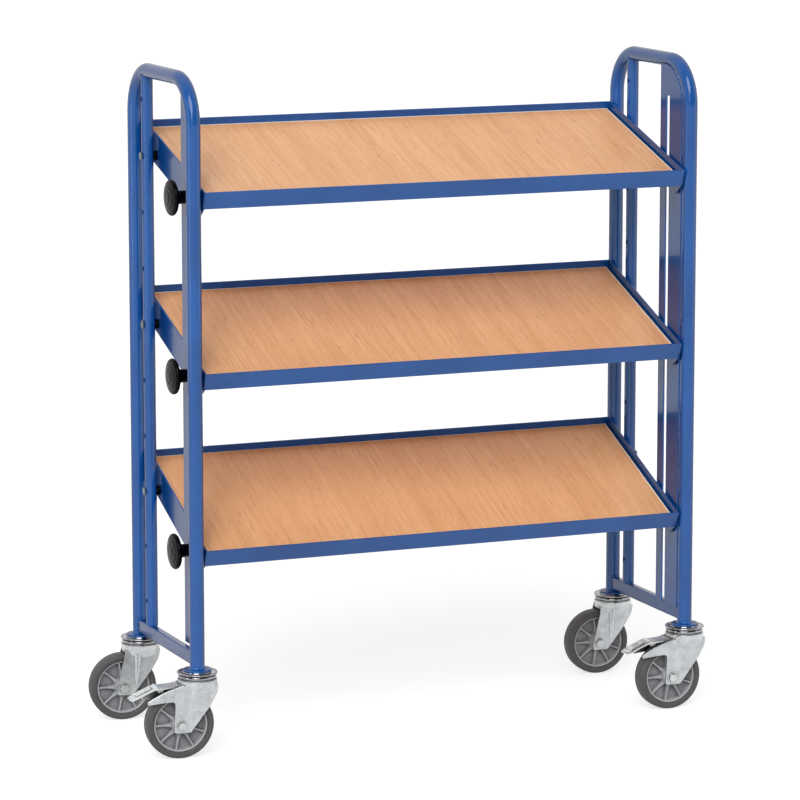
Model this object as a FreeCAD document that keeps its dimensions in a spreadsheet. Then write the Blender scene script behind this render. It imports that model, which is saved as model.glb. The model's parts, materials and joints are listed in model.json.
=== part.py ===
import FreeCAD, Part
import os
import re
import Sketcher
from FreeCAD import Placement, Rotation, Vector
from math import pi

# Book cart: two bent-tube end frames on four swivel casters, joined by three trays.
# Each tray turns on a rear pivot and is clamped at the front in a vertical slot of the end frame.
# +X runs to the right end, +Y to the rear, +Z up. The origin is on the floor, under the
# centre of the whole cart with its casters trailing to the left. Millimetres and degrees.

doc = FreeCAD.newDocument("BookCart")
sheet = doc.addObject("Spreadsheet::Sheet", "Sizes")

drivingSizes = [
    ("midX", 45.285, "middle of the end frames, right of the origin"),
    ("postSpanX", 976, "post axis to post axis, left to right"),
    ("postSpanY", 312, "post axis to post axis, front to rear"),
    ("postDia", 27, "outer diameter of the bent hoop tube"),
    ("tubeWall", 2, "wall of the round tubes"),
    ("cartHeight", 1230, "floor to the top of the hoops"),
    ("bendRadius", 80, "bend of the hoop, on the tube's axis"),
    ("casterHeight", 157, "floor to the underside of the post flange"),
    ("flangeDia", 52, "round flange under each post"),
    ("flangeThick", 4, "thickness of that flange"),
    ("weldSize", 4, "leg of the weld round the foot of a post"),
    ("barLift", 29, "top of the crossbar above the post flanges"),
    ("barHeight", 25, "height of the crossbar's section"),
    ("barWidth", 15, "width of the crossbar's section"),
    ("barWall", 1.5, "wall of the crossbar"),
    ("barCorner", 3, "corner radius of the crossbar's section"),
    ("railDia", 22, "outer diameter of the punched rear rail"),
    ("railBack", 69, "rear rail axis in front of the rear post axis"),
    ("railHoleDia", 9, "holes through the rear rail"),
    ("railHoleDrop", 66, "uppermost rail hole below the top of the cart"),
    ("railHoleLift", 47, "lowest rail hole above the crossbar"),
    ("railHoleCount", 10, "holes in each rail"),
    ("plateThick", 3, "thickness of the slotted plate"),
    ("plateInset", 12.8, "middle of the slotted plate, inboard of the post axis"),
    ("plateReach", 95, "rear edge of the slotted plate, behind the front post axis"),
    ("slotMid", 64.5, "middle of the slot, behind the front post axis"),
    ("plateSlot", 13, "width of the clamp slot in the slotted plate"),
    ("slotWidth", 16, "width of the clamp slot in the tray"),
    ("slotDrop", 79, "upper end of the slot below the top of the cart"),
    ("trayInset", 16.7, "outer face of a tray side plate, inboard of the post axis"),
    ("trayNose", 46.34, "steep end of the tray slot to the front face of the tray"),
    ("trayTail", 9.3, "rear face of the tray behind the rear post axis, with the tray level"),
    ("sideHeight", 55, "height of a tray side plate"),
    ("sideThick", 3, "thickness of tray side plates and angles"),
    ("sidePivot", 17.5, "tray pivot above the lower edge of the side plate"),
    ("sideChamfer", 16, "length of the side plate's cut lower corners"),
    ("angleHeight", 32, "upright leg of the front and rear angles"),
    ("angleLeg", 25, "flat leg of the front and rear angles"),
    ("boardThick", 16, "laminated shelf board"),
    ("boardGap", 1, "board to front and rear angle"),
    ("boardEndGap", 4, "board to side plate"),
    ("topTilt", 17.5, "slope of the top tray, front edge down"),
    ("middleTilt", 21, "slope of the middle tray"),
    ("bottomTilt", 23.7, "slope of the bottom tray"),
    ("topHoleCount", 1, "rail holes above the top tray's pivot"),
    ("middleHoleCount", 4, "rail holes above the middle tray's pivot"),
    ("bottomHoleCount", 7, "rail holes above the bottom tray's pivot"),
    ("levelTravel", 28, "slope at the steep end of the tray slot"),
    ("pivotDia", 8, "pivot bolt"),
    ("pivotFit", 0.05, "radial clearance of a pivot bolt or knob bore"),
    ("washerGap", 0.3, "side clearance between parts that slide or turn"),
    ("pivotHeadFlat", 13, "pivot bolt head and nut across flats"),
    ("pivotHeadThick", 5.3, "pivot bolt head"),
    ("pivotNutThick", 3, "low pivot nut"),
    ("pivotSpare", 0.5, "thread past the pivot nut"),
    ("spacerDia", 18, "pivot spacer"),
    ("clampDia", 8, "clamp bolt"),
    ("clampHeadDia", 22, "flat round head of the clamp bolt"),
    ("clampHeadThick", 3, "thickness of that head"),
    ("washerDia", 24, "clamp washers"),
    ("washerThick", 2, "outer clamp washer"),
    ("knobDia", 65, "clamp knob disc"),
    ("knobHalfThick", 7.2, "half thickness of the knob disc"),
    ("knobOut", 18.3, "middle of the knob disc, outboard of the post axis"),
    ("knobStemDia", 24, "neck of the knob"),
    ("knobThread", 20, "clamp bolt inside the knob"),
    ("knobBoreEnd", 1, "room past the end of the clamp bolt"),
    ("wheelDrop", 32, "top of the caster wheel below the post flange"),
    ("tyreWidth", 32, "tyre"),
    ("tyreRound", 6, "rounded shoulder of the tyre"),
    ("tyreDeep", 12.5, "tyre over the wheel body"),
    ("rimWidth", 26, "rim ring"),
    ("rimWall", 4, "rim ring's wall"),
    ("webThick", 6, "disc between hub and rim"),
    ("hubDia", 30, "wheel hub"),
    ("hubWidth", 37, "wheel hub along the axle"),
    ("spokeCount", 9, "ribs on each face of the wheel"),
    ("spokeThick", 3, "rib thickness"),
    ("spokeWidth", 20, "ribs over both faces, along the axle"),
    ("axleDia", 10, "wheel axle bolt"),
    ("axleFit", 0.06, "radial clearance of the wheel on its axle"),
    ("axleHeadFlat", 17, "axle head and nut across flats"),
    ("axleHeadThick", 6, "axle head and nut"),
    ("casterTrail", 35, "swivel axis to wheel axis"),
    ("forkInside", 40, "fork legs, inner face to inner face"),
    ("forkThick", 3, "fork sheet"),
    ("crownDia", 74, "lower ring of the swivel head, on the fork"),
    ("crownHeight", 8.5, "height of that ring"),
    ("raceDia", 66, "upper ring of the swivel head, under the post"),
    ("raceHeight", 9, "height of that ring"),
    ("kingpinDia", 14, "swivel pin"),
    ("kingpinNutDia", 22, "head of the swivel pin under the fork"),
    ("kingpinNutThick", 5, "thickness of that head"),
    ("legBack", 31, "rear edge of the fork web, behind the swivel axis"),
    ("legFoot", 15, "half width of a fork leg at the axle"),
    ("legBelow", 12.5, "fork leg below the wheel axis"),
    ("legCorner", 5, "cut corners of the fork legs"),
    ("hornReach", 98, "horn tip of a braked fork, behind the swivel axis"),
    ("hornTipDrop", 29.2, "middle of the horn tip below the fork's web"),
    ("hornTipDepth", 4, "depth of the horn at its tip"),
    ("hornShoulderBack", 66, "bend in the horn's upper edge, behind the swivel axis"),
    ("hornShoulderDrop", 12.2, "that bend below the fork's web"),
    ("hornRootBack", 42, "inner corner of horn and leg, behind the swivel axis"),
    ("hornRootDrop", 28.2, "underside of the horn at its root below the fork's web"),
    ("stemDia", 12, "caster stem up inside the post"),
    ("stemLength", 45, "caster stem above the flange's underside"),
    ("pedalThick", 2.5, "brake pedal sheet"),
    ("pedalWidth", 36, "brake pedal"),
    ("pedalReach", 128, "brake pedal tip from the swivel axis"),
    ("pedalPivotBack", 24, "pedal pin from the swivel axis"),
    ("pedalPivotDrop", 6.2, "pedal pin below the fork's web"),
    ("pedalPinDia", 5, "pedal pin"),
    ("pedalCrestDrop", 1.2, "highest point of the pedal below the fork's web"),
    ("pedalCrestBack", 78, "crest of the pedal, behind the swivel axis"),
    ("pedalTipDrop", 22.7, "upper face of the pedal's tip below the fork's web"),
    ("shoeBack", 66, "brake shoe, behind the swivel axis"),
    ("shoeLength", 10, "brake shoe along the tyre"),
    ("shoeDrop", 11.8, "brake shoe below the fork's web"),
    ("frontLeftTurn", -5, "swivel of the front left caster from straight trailing"),
    ("frontRightTurn", 0, "swivel of the front right caster"),
    ("rearLeftTurn", -8, "swivel of the rear left caster"),
    ("rearRightTurn", -4, "swivel of the rear right caster"),
]
for row, (alias, size, note) in enumerate(drivingSizes, 1):
    sheet.set(f"A{row}", note)
    sheet.set(f"B{row}", str(size))
    sheet.setAlias(f"B{row}", alias)
doc.recompute()

aliases = {alias for alias, size, note in drivingSizes}
tolerance = 0.01    # for finding an edge by its place or radius
parts = []
ends = {"left": "-1", "right": "1"}
trays = ("top", "middle", "bottom")
corners = {
    "front_left": ("-1", "-1", "frontLeftTurn"),
    "front_right": ("1", "-1", "frontRightTurn"),
    "rear_left": ("-1", "1", "rearLeftTurn"),
    "rear_right": ("1", "1", "rearRightTurn"),
}

# Places that several pieces share, as expressions of the driving sizes.
postR = "(postDia / 2)"
hoopAxisTop = f"(cartHeight - {postR})"
flangeTop = "(casterHeight + flangeThick)"
barTop = f"({flangeTop} + barLift)"
frontPostY = "(-postSpanY / 2)"
rearPostY = "(postSpanY / 2)"
pivotY = f"({rearPostY} - railBack)"
straightTop = f"({hoopAxisTop} - bendRadius)"     # where the posts start to bend
bendRear = f"({rearPostY} - bendRadius)"
clampY = f"({frontPostY} + slotMid)"
clampRun = f"({pivotY} - {clampY})"
plateInner = "(plateInset + plateThick / 2)"     # inboard face of the slotted plate, from the post axis
plateOuter = "(plateInset - plateThick / 2)"
railHoleTop = "(cartHeight - railHoleDrop)"
railHolePitch = f"(({railHoleTop} - {barTop} - railHoleLift) / (railHoleCount - 1))"
slotTop = "(cartHeight - slotDrop)"
trayWidth = "(postSpanX - 2 * trayInset)"
sideTop = "(sideHeight - sidePivot)"
angleBottom = f"({sideTop} - angleHeight)"
boardBottom = f"({angleBottom} + sideThick)"
slotSteepEnd = f"({clampRun} / cos(levelTravel) + slotWidth / 2)"      # from the pivot, along the tray
trayFront = f"(-{slotSteepEnd} - trayNose)"
trayBehind = "(railBack + trayTail)"
raceBottom = "(casterHeight - raceHeight)"
crownTop = f"({raceBottom} - washerGap)"
webTop = f"({crownTop} - crownHeight)"
webBottom = f"({webTop} - forkThick)"
wheelDia = "(casterHeight - wheelDrop)"
rimDia = f"({wheelDia} - 2 * tyreDeep)"
wheelZ = f"({wheelDia} / 2)"
pedalPivotHeight = f"({webBottom} - pedalPivotDrop)"
pedalCrest = f"({webBottom} - pedalCrestDrop)"
pedalUnder = f"({pedalCrest} - pedalThick)"
shoeBottom = f"({webBottom} - shoeDrop)"
legOut = "(forkInside / 2 + forkThick)"


def bound(expression):
    """Expression with each size read from the sheet."""
    return re.sub(r"[A-Za-z]\w*", lambda m: "Sizes." + m[0] if m[0] in aliases else m[0], expression)


def value(expression):
    return float(sheet.evalExpression(bound(expression)))


def pivotHeight(tray):
    return f"({railHoleTop} - {tray}HoleCount * {railHolePitch})"


def place(obj, x="0", y="0", z="0", axis=Vector(0, 0, 1), turn=None):
    """Bind the object's place, and its turn about one axis, to the sheet."""
    angle = value(turn) if turn else 0
    obj.Placement = Placement(Vector(value(x), value(y), value(z)), Rotation(axis, angle))
    for letter, expression in zip("xyz", (x, y, z)):
        obj.setExpression(f"Placement.Base.{letter}", bound(expression))
    if turn:
        obj.setExpression("Placement.Rotation.Angle", bound(f"({turn}) * 1 deg"))
    return obj


def keep(obj, label):
    obj.Label = label
    parts.append(obj)
    return obj


def newBody(label):
    return keep(doc.addObject("PartDesign::Body", label), label)


def originItem(body, role):
    return next(item for item in body.Origin.OriginFeatures if item.Role == role)


def sketchOn(body, plane, offset="0"):
    sketch = body.newObject("Sketcher::SketchObject", f"{body.Name}_sketch")
    sketch.AttachmentSupport = [(originItem(body, plane), "")]
    sketch.MapMode = "FlatFace"
    sketch.setExpression("AttachmentOffset.Base.z", bound(offset))
    return sketch


def fix(sketch, geometry, point, x, y):
    """Hold one sketch point at two expressions measured from the sketch origin."""
    for kind, expression in (("DistanceX", x), ("DistanceY", y)):
        size = value(expression)
        index = sketch.addConstraint(Sketcher.Constraint(kind, -1, 1, geometry, point, size))
        sketch.setExpression(f"Constraints[{index}]", bound(expression))


def polygon(sketch, points):
    """Closed outline of straight lines through points given as expression pairs."""
    spots = [Vector(value(x), value(y), 0) for x, y in points]
    lines = []
    for start, end in zip(spots, spots[1:] + spots[:1]):
        lines.append(sketch.addGeometry(Part.LineSegment(start, end), False))
    for (x, y), line, nextLine in zip(points, lines, lines[1:] + lines[:1]):
        sketch.addConstraint(Sketcher.Constraint("Coincident", line, 2, nextLine, 1))
        fix(sketch, line, 1, x, y)


def quarterArc(sketch, x, y, radius, quarter, start, end):
    """Anticlockwise quarter circle joined to two points; the quarter counts from +X."""
    ring = Part.Circle(Vector(value(x), value(y), 0), Vector(0, 0, 1), value(radius))
    arc = sketch.addGeometry(Part.ArcOfCircle(ring, quarter * pi / 2, (quarter + 1) * pi / 2), False)
    sketch.addConstraint(Sketcher.Constraint("Coincident", arc, 1, *start))
    sketch.addConstraint(Sketcher.Constraint("Coincident", arc, 2, *end))
    index = sketch.addConstraint(Sketcher.Constraint("DistanceX", -1, 1, arc, 3, value(x)))
    sketch.setExpression(f"Constraints[{index}]", bound(x))
    return arc


def circle(sketch, x, y, radius):
    centre = Vector(value(x), value(y), 0)
    ring = sketch.addGeometry(Part.Circle(centre, Vector(0, 0, 1), value(radius)), False)
    fix(sketch, ring, 3, x, y)
    index = sketch.addConstraint(Sketcher.Constraint("Radius", ring, value(radius)))
    sketch.setExpression(f"Constraints[{index}]", bound(radius))


def pad(body, sketch, length, middle=False):
    feature = body.newObject("PartDesign::Pad", f"{body.Name}_pad")
    feature.Profile = sketch
    feature.SideType = "Symmetric" if middle else "One side"
    feature.setExpression("Length", bound(length))
    return feature


def revolve(body, sketch):
    """Full turn about the body's Y axis."""
    feature = body.newObject("PartDesign::Revolution", f"{body.Name}_turned")
    feature.Profile = sketch
    feature.ReferenceAxis = (sketch, ["V_Axis"])
    feature.Angle = 360
    return feature


def cutThrough(body, sketch):
    """Pocket on both sides of the sketch, through everything."""
    feature = body.newObject("PartDesign::Pocket", f"{body.Name}_cut")
    feature.Profile = sketch
    feature.SideType = "Symmetric"
    feature.Type = "ThroughAll"
    return feature


def along(solid, x, y, z, axis):
    """Place a piece drawn along +Z, laid along +X or -Y when an axis is named."""
    turns = {None: (Vector(0, 0, 1), None), "X": (Vector(0, 1, 0), "90"), "-Y": (Vector(1, 0, 0), "90")}
    return place(solid, x, y, z, *turns[axis])


def cylinder(radius, height, x="0", y="0", z="0", axis=None):
    solid = doc.addObject("Part::Cylinder", "cylinder")
    solid.setExpression("Radius", bound(radius))
    solid.setExpression("Height", bound(height))
    return along(solid, x, y, z, axis)


def hexagon(flat, height, x="0", y="0", z="0", axis=None):
    solid = doc.addObject("Part::Prism", "hexagon")
    solid.Polygon = 6
    solid.setExpression("Circumradius", bound(f"({flat}) / sqrt(3)"))
    solid.setExpression("Height", bound(height))
    return along(solid, x, y, z, axis)


def fuse(*shapes):
    joined = doc.addObject("Part::MultiFuse", "joined")
    joined.Shapes = list(shapes)
    joined.Refine = True
    return joined


def cut(base, tool):
    result = doc.addObject("Part::Cut", "cut")
    result.Base = base
    result.Tool = tool
    return result


def group(shapes):
    """Separate solids kept in one sub-part."""
    compound = doc.addObject("Part::Compound", "group")
    compound.Links = list(shapes)
    return compound


# End frames


def hoop(side, sign):
    """One tube bent into an upside-down U, standing on its two flanges."""
    body = newBody(f"{side}_hoop")
    path = sketchOn(body, "YZ_Plane")
    bendFront = f"({frontPostY} + bendRadius)"
    spots = [
        (frontPostY, flangeTop),
        (frontPostY, straightTop),
        (bendFront, hoopAxisTop),
        (bendRear, hoopAxisTop),
        (rearPostY, straightTop),
        (rearPostY, flangeTop),
    ]
    at = [Vector(value(y), value(z), 0) for y, z in spots]
    frontPost = path.addGeometry(Part.LineSegment(at[0], at[1]), False)
    topBar = path.addGeometry(Part.LineSegment(at[2], at[3]), False)
    rearPost = path.addGeometry(Part.LineSegment(at[4], at[5]), False)
    for line, first, second in ((frontPost, 0, 1), (topBar, 2, 3), (rearPost, 4, 5)):
        fix(path, line, 1, *spots[first])
        fix(path, line, 2, *spots[second])
    quarterArc(path, bendFront, straightTop, "bendRadius", 1, (topBar, 1), (frontPost, 2))
    quarterArc(path, bendRear, straightTop, "bendRadius", 0, (rearPost, 1), (topBar, 2))
    section = sketchOn(body, "XY_Plane", flangeTop)
    circle(section, "0", frontPostY, postR)
    circle(section, "0", frontPostY, f"{postR} - tubeWall")
    pipe = body.newObject("PartDesign::AdditivePipe", f"{side}_hoop_tube")
    pipe.Profile = section
    pipe.Spine = (path, [f"Edge{number + 1}" for number in range(5)])
    pipe.Transition = "Transformed"
    place(body, f"midX + {sign} * postSpanX / 2")


def crossbar(side, sign):
    """Rectangular tube between the posts, its ends shaped to their round sides."""
    body = newBody(f"{side}_crossbar")
    section = sketchOn(body, "XZ_Plane")
    middle = f"({barTop} - barHeight / 2)"
    for wall in ("0", "barWall"):
        halfWidth = f"(barWidth / 2 - {wall})"
        halfHeight = f"(barHeight / 2 - {wall})"
        polygon(section, [
            (f"-{halfWidth}", f"{middle} - {halfHeight}"),
            (halfWidth, f"{middle} - {halfHeight}"),
            (halfWidth, f"{middle} + {halfHeight}"),
            (f"-{halfWidth}", f"{middle} + {halfHeight}"),
        ])
    tube = pad(body, section, "postSpanY", middle=True)
    doc.recompute()
    outer = []
    for number, edge in enumerate(tube.Shape.Edges, 1):
        atCorner = abs(abs(edge.CenterOfMass.x) - value("barWidth / 2")) < tolerance
        fromMiddle = abs(edge.CenterOfMass.z - value(middle))
        if atCorner and abs(fromMiddle - value("barHeight / 2")) < tolerance:
            outer.append(f"Edge{number}")
    rounding = body.newObject("PartDesign::Fillet", f"{side}_crossbar_corners")
    rounding.Base = (tube, outer)
    rounding.setExpression("Radius", bound("barCorner"))
    posts = sketchOn(body, "XY_Plane")
    circle(posts, "0", frontPostY, postR)
    circle(posts, "0", rearPostY, postR)
    cutThrough(body, posts)
    place(body, f"midX + {sign} * postSpanX / 2")


def rail(side, sign):
    """Round upright with a row of cross holes, from the crossbar to the hoop."""
    body = newBody(f"{side}_rail")
    section = sketchOn(body, "XY_Plane", barTop)
    circle(section, "0", "0", "railDia / 2")
    circle(section, "0", "0", "railDia / 2 - tubeWall")
    pad(body, section, f"{hoopAxisTop} - {barTop}")
    saddle = sketchOn(body, "XZ_Plane")
    circle(saddle, "0", hoopAxisTop, postR)
    cutThrough(body, saddle)
    bend = sketchOn(body, "XZ_Plane", f"{pivotY} - {bendRear}")
    bend.setExpression("AttachmentOffset.Base.y", bound(straightTop))
    circle(bend, "0", "bendRadius", postR)
    groove = body.newObject("PartDesign::Groove", f"{side}_rail_bend")
    groove.Profile = bend
    groove.ReferenceAxis = (bend, ["H_Axis"])
    groove.Angle = 90
    groove.Reversed = True
    hole = sketchOn(body, "YZ_Plane")
    circle(hole, "0", railHoleTop, "railHoleDia / 2")
    drilled = cutThrough(body, hole)
    row = body.newObject("PartDesign::LinearPattern", f"{side}_rail_holes")
    row.Originals = [drilled]
    row.Direction = (originItem(body, "Z_Axis"), [""])
    row.Reversed = True
    row.setExpression("Length", bound(f"{railHolePitch} * (railHoleCount - 1)"))
    row.setExpression("Occurrences", bound("railHoleCount"))
    body.Tip = row
    place(body, f"midX + {sign} * postSpanX / 2", pivotY)


def slottedPlate(side, sign):
    """Upright sheet inside the front post, its top corner following the bend."""
    body = newBody(f"{side}_slotted_plate")
    outline = sketchOn(body, "YZ_Plane")
    reach = f"sqrt({postR} ^ 2 - {plateOuter} ^ 2)"      # half the post's width where the plate meets it
    frontEdge = f"({frontPostY} + {reach})"
    rearEdge = f"({frontPostY} + plateReach)"
    bendY = f"({frontPostY} + bendRadius)"
    topEdge = f"({hoopAxisTop} - {reach})"
    slotFront = f"({clampY} - plateSlot / 2)"
    slotRear = f"({clampY} + plateSlot / 2)"
    spots = [
        (bendY, topEdge),
        (rearEdge, topEdge),
        (rearEdge, barTop),
        (slotRear, barTop),
        (slotRear, slotTop),
        (slotFront, slotTop),
        (slotFront, barTop),
        (frontEdge, barTop),
        (frontEdge, straightTop),
    ]
    at = [Vector(value(y), value(z), 0) for y, z in spots]
    lines = [outline.addGeometry(Part.LineSegment(start, end), False) for start, end in zip(at, at[1:])]
    for line, (y, z) in zip(lines, spots):
        fix(outline, line, 1, y, z)
    for line, nextLine in zip(lines, lines[1:]):
        outline.addConstraint(Sketcher.Constraint("Coincident", line, 2, nextLine, 1))
    fix(outline, lines[-1], 2, *spots[-1])
    quarterArc(outline, bendY, straightTop, f"bendRadius - {reach}", 1, (lines[0], 1), (lines[-1], 2))
    pad(body, outline, "plateThick", middle=True)
    place(body, f"midX + {sign} * (postSpanX / 2 - plateInset)")


def postFlanges():
    """Round flange welded under each post, bored for the caster stem."""
    shapes = []
    for signX, signY, turn in corners.values():
        x = f"midX + {signX} * postSpanX / 2"
        y = f"{signY} * postSpanY / 2"
        disc = cylinder("flangeDia / 2", "flangeThick", x, y, "casterHeight")
        weld = doc.addObject("Part::Cone", "weld")
        weld.setExpression("Radius1", bound(f"{postR} + weldSize"))
        weld.setExpression("Radius2", bound(f"{postR} + weldSize / 8"))
        weld.setExpression("Height", bound("weldSize"))
        place(weld, x, y, flangeTop)
        foot = cylinder(postR, "weldSize", x, y, flangeTop)
        stemHole = cylinder("stemDia / 2 + pivotFit", "flangeThick", x, y, "casterHeight")
        shapes.append(fuse(cut(disc, stemHole), cut(weld, foot)))
    keep(group(shapes), "post_flanges")


# Trays


def tilted(body, tray, x="midX"):
    """Set a piece drawn about its pivot into the cart, its front edge down."""
    height = pivotHeight(tray)
    place(body, x, pivotY, height, Vector(1, 0, 0), f"{tray}Tilt")


def sidePlate(tray, side, sign):
    """Flat side of a tray with the pivot hole and the clamp slot."""
    body = newBody(f"{tray}_tray_{side}_side")
    outline = sketchOn(body, "YZ_Plane", f"{sign} * ({trayWidth} - sideThick) / 2")
    polygon(outline, [
        (trayFront, sideTop),
        (trayFront, angleBottom),
        (f"{trayFront} + sideChamfer", "-sidePivot"),
        (f"{trayBehind} - sideChamfer", "-sidePivot"),
        (trayBehind, angleBottom),
        (trayBehind, sideTop),
    ])
    pad(body, outline, "sideThick", middle=True)
    openings = sketchOn(body, "YZ_Plane")
    circle(openings, "0", "0", "pivotDia / 2 + pivotFit")
    slotNear = f"(-{clampRun} + slotWidth / 2)"
    slotFar = f"(-{slotSteepEnd})"
    polygon(openings, [
        (slotNear, "slotWidth / 2"),
        (slotFar, "slotWidth / 2"),
        (slotFar, "-slotWidth / 2"),
        (slotNear, "-slotWidth / 2"),
    ])
    cutThrough(body, openings)
    tilted(body, tray)


def trayAngle(tray, name, edge, inward):
    """Steel angle between the side plates: a lip above the board and a leg under it."""
    body = newBody(f"{tray}_tray_{name}_angle")
    section = sketchOn(body, "YZ_Plane")
    polygon(section, [
        (edge, sideTop),
        (edge, angleBottom),
        (f"{edge} + {inward} * (sideThick + angleLeg)", angleBottom),
        (f"{edge} + {inward} * (sideThick + angleLeg)", boardBottom),
        (f"{edge} + {inward} * sideThick", boardBottom),
        (f"{edge} + {inward} * sideThick", sideTop),
    ])
    pad(body, section, f"{trayWidth} - 2 * sideThick", middle=True)
    tilted(body, tray)


def board(tray):
    """Laminated board lying on the legs of the two angles."""
    body = newBody(f"{tray}_tray_board")
    section = sketchOn(body, "YZ_Plane")
    boardFront = f"({trayFront} + sideThick + boardGap)"
    boardRear = f"({trayBehind} - sideThick - boardGap)"
    polygon(section, [
        (boardFront, boardBottom),
        (boardRear, boardBottom),
        (boardRear, f"{boardBottom} + boardThick"),
        (boardFront, f"{boardBottom} + boardThick"),
    ])
    pad(body, section, f"{trayWidth} - 2 * (sideThick + boardEndGap)", middle=True)
    tilted(body, tray)


# Pivots and clamps, drawn outward from the post axis of their end


def acrossX(make, sign, size, out, length, y, z):
    """Round or hexagonal piece along X, from a distance outboard of the post axis outwards."""
    start = out if sign == "1" else f"({out} + {length})"
    return make(size, length, f"midX + {sign} * (postSpanX / 2 + {start})", y, z, axis="X")


def pivots():
    """Rear pivots: bolt from inside the tray, spacer to the rail, nut outside."""
    bolts = []
    nuts = []
    spacers = []
    headInner = "(-trayInset - sideThick - washerGap - pivotHeadThick)"
    headOuter = f"({headInner} + pivotHeadThick)"
    shank = f"(railDia / 2 + pivotNutThick + pivotSpare - {headOuter})"
    spacerInner = "(-trayInset + washerGap)"
    spacerLength = "(trayInset - washerGap - railDia / 2)"
    for tray in trays:
        z = pivotHeight(tray)
        for sign in ends.values():
            head = acrossX(hexagon, sign, "pivotHeadFlat", headInner, "pivotHeadThick", pivotY, z)
            stem = acrossX(cylinder, sign, "pivotDia / 2", headOuter, shank, pivotY, z)
            bolts.append(fuse(head, stem))
            nut = acrossX(hexagon, sign, "pivotHeadFlat", "railDia / 2", "pivotNutThick", pivotY, z)
            thread = acrossX(cylinder, sign, "pivotDia / 2", "railDia / 2", "pivotNutThick", pivotY, z)
            nuts.append(cut(nut, thread))
            ring = acrossX(cylinder, sign, "spacerDia / 2", spacerInner, spacerLength, pivotY, z)
            bore = acrossX(cylinder, sign, "pivotDia / 2 + pivotFit", spacerInner, spacerLength, pivotY, z)
            spacers.append(cut(ring, bore))
    keep(group(bolts), "pivot_bolts")
    keep(group(nuts), "pivot_nuts")
    keep(group(spacers), "pivot_spacers")


def clamps(tray):
    """Front clamps: flat-headed bolt, washers each side of the slotted plate, knob outside."""
    bolts = []
    washers = []
    height = f"({pivotHeight(tray)} - {clampRun} * tan({tray}Tilt))"
    headInner = "(-trayInset - sideThick - washerGap - clampHeadThick)"
    headOuter = f"({headInner} + clampHeadThick)"
    outerWasher = f"(washerGap - {plateOuter})"
    neckStart = f"({outerWasher} + washerThick + pivotFit)"
    boltEnd = f"({neckStart} + knobThread)"
    innerWasher = "(washerGap - trayInset)"
    innerThick = f"(trayInset - {plateInner} - 2 * washerGap)"
    for side, sign in ends.items():
        head = acrossX(cylinder, sign, "clampHeadDia / 2", headInner, "clampHeadThick", clampY, height)
        shank = f"({boltEnd} - {headOuter})"
        stem = acrossX(cylinder, sign, "clampDia / 2", headOuter, shank, clampY, height)
        bolts.append(fuse(head, stem))
        for start, thick in ((innerWasher, innerThick), (outerWasher, "washerThick")):
            disc = acrossX(cylinder, sign, "washerDia / 2", start, thick, clampY, height)
            hole = acrossX(cylinder, sign, "clampDia / 2", start, thick, clampY, height)
            washers.append(cut(disc, hole))
        neckLength = f"(knobOut - {neckStart})"
        neck = acrossX(cylinder, sign, "knobStemDia / 2", neckStart, neckLength, clampY, height)
        lens = doc.addObject("Part::Ellipsoid", "knob_disc")
        radii = (("Radius1", "knobDia / 2"), ("Radius2", "knobHalfThick"), ("Radius3", "knobDia / 2"))
        for name, size in radii:
            lens.setExpression(name, bound(size))
        seamOutside = f"90 - {sign} * 90"
        place(lens, f"midX + {sign} * (postSpanX / 2 + knobOut)", clampY, height, turn=seamOutside)
        bore = acrossX(cylinder, sign, "clampDia / 2 + pivotFit", neckStart, "(knobThread + knobBoreEnd)",
                       clampY, height)
        keep(cut(fuse(neck, lens), bore), f"{tray}_{side}_knob")
    keep(group(bolts), f"{tray}_clamp_bolts")
    keep(group(washers), f"{tray}_clamp_washers")


# Casters, drawn about their swivel axis and trailing to -X


def onCaster(obj, corner):
    signX, signY, turn = corners[corner]
    return place(obj, f"midX + {signX} * postSpanX / 2", f"{signY} * postSpanY / 2", "0", turn=turn)


def onAxle(obj, corner):
    signX, signY, turn = corners[corner]
    x = f"midX + {signX} * postSpanX / 2 - casterTrail * cos({turn})"
    y = f"{signY} * postSpanY / 2 - casterTrail * sin({turn})"
    return place(obj, x, y, wheelZ, turn=turn)


def casterHeads():
    """Upper ring with the stem above it and the swivel pin below it, fixed to each post."""
    shapes = []
    pinBottom = f"({webBottom} - washerGap - kingpinNutThick)"
    for signX, signY, turn in corners.values():
        x = f"midX + {signX} * postSpanX / 2"
        y = f"{signY} * postSpanY / 2"
        ring = cylinder("raceDia / 2", "raceHeight", x, y, raceBottom)
        stem = cylinder("stemDia / 2", "stemLength", x, y, "casterHeight")
        pin = cylinder("kingpinDia / 2", f"({raceBottom} - {pinBottom})", x, y, pinBottom)
        nut = cylinder("kingpinNutDia / 2", "kingpinNutThick", x, y, pinBottom)
        shapes.append(fuse(ring, stem, pin, nut))
    keep(group(shapes), "caster_heads")


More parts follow.
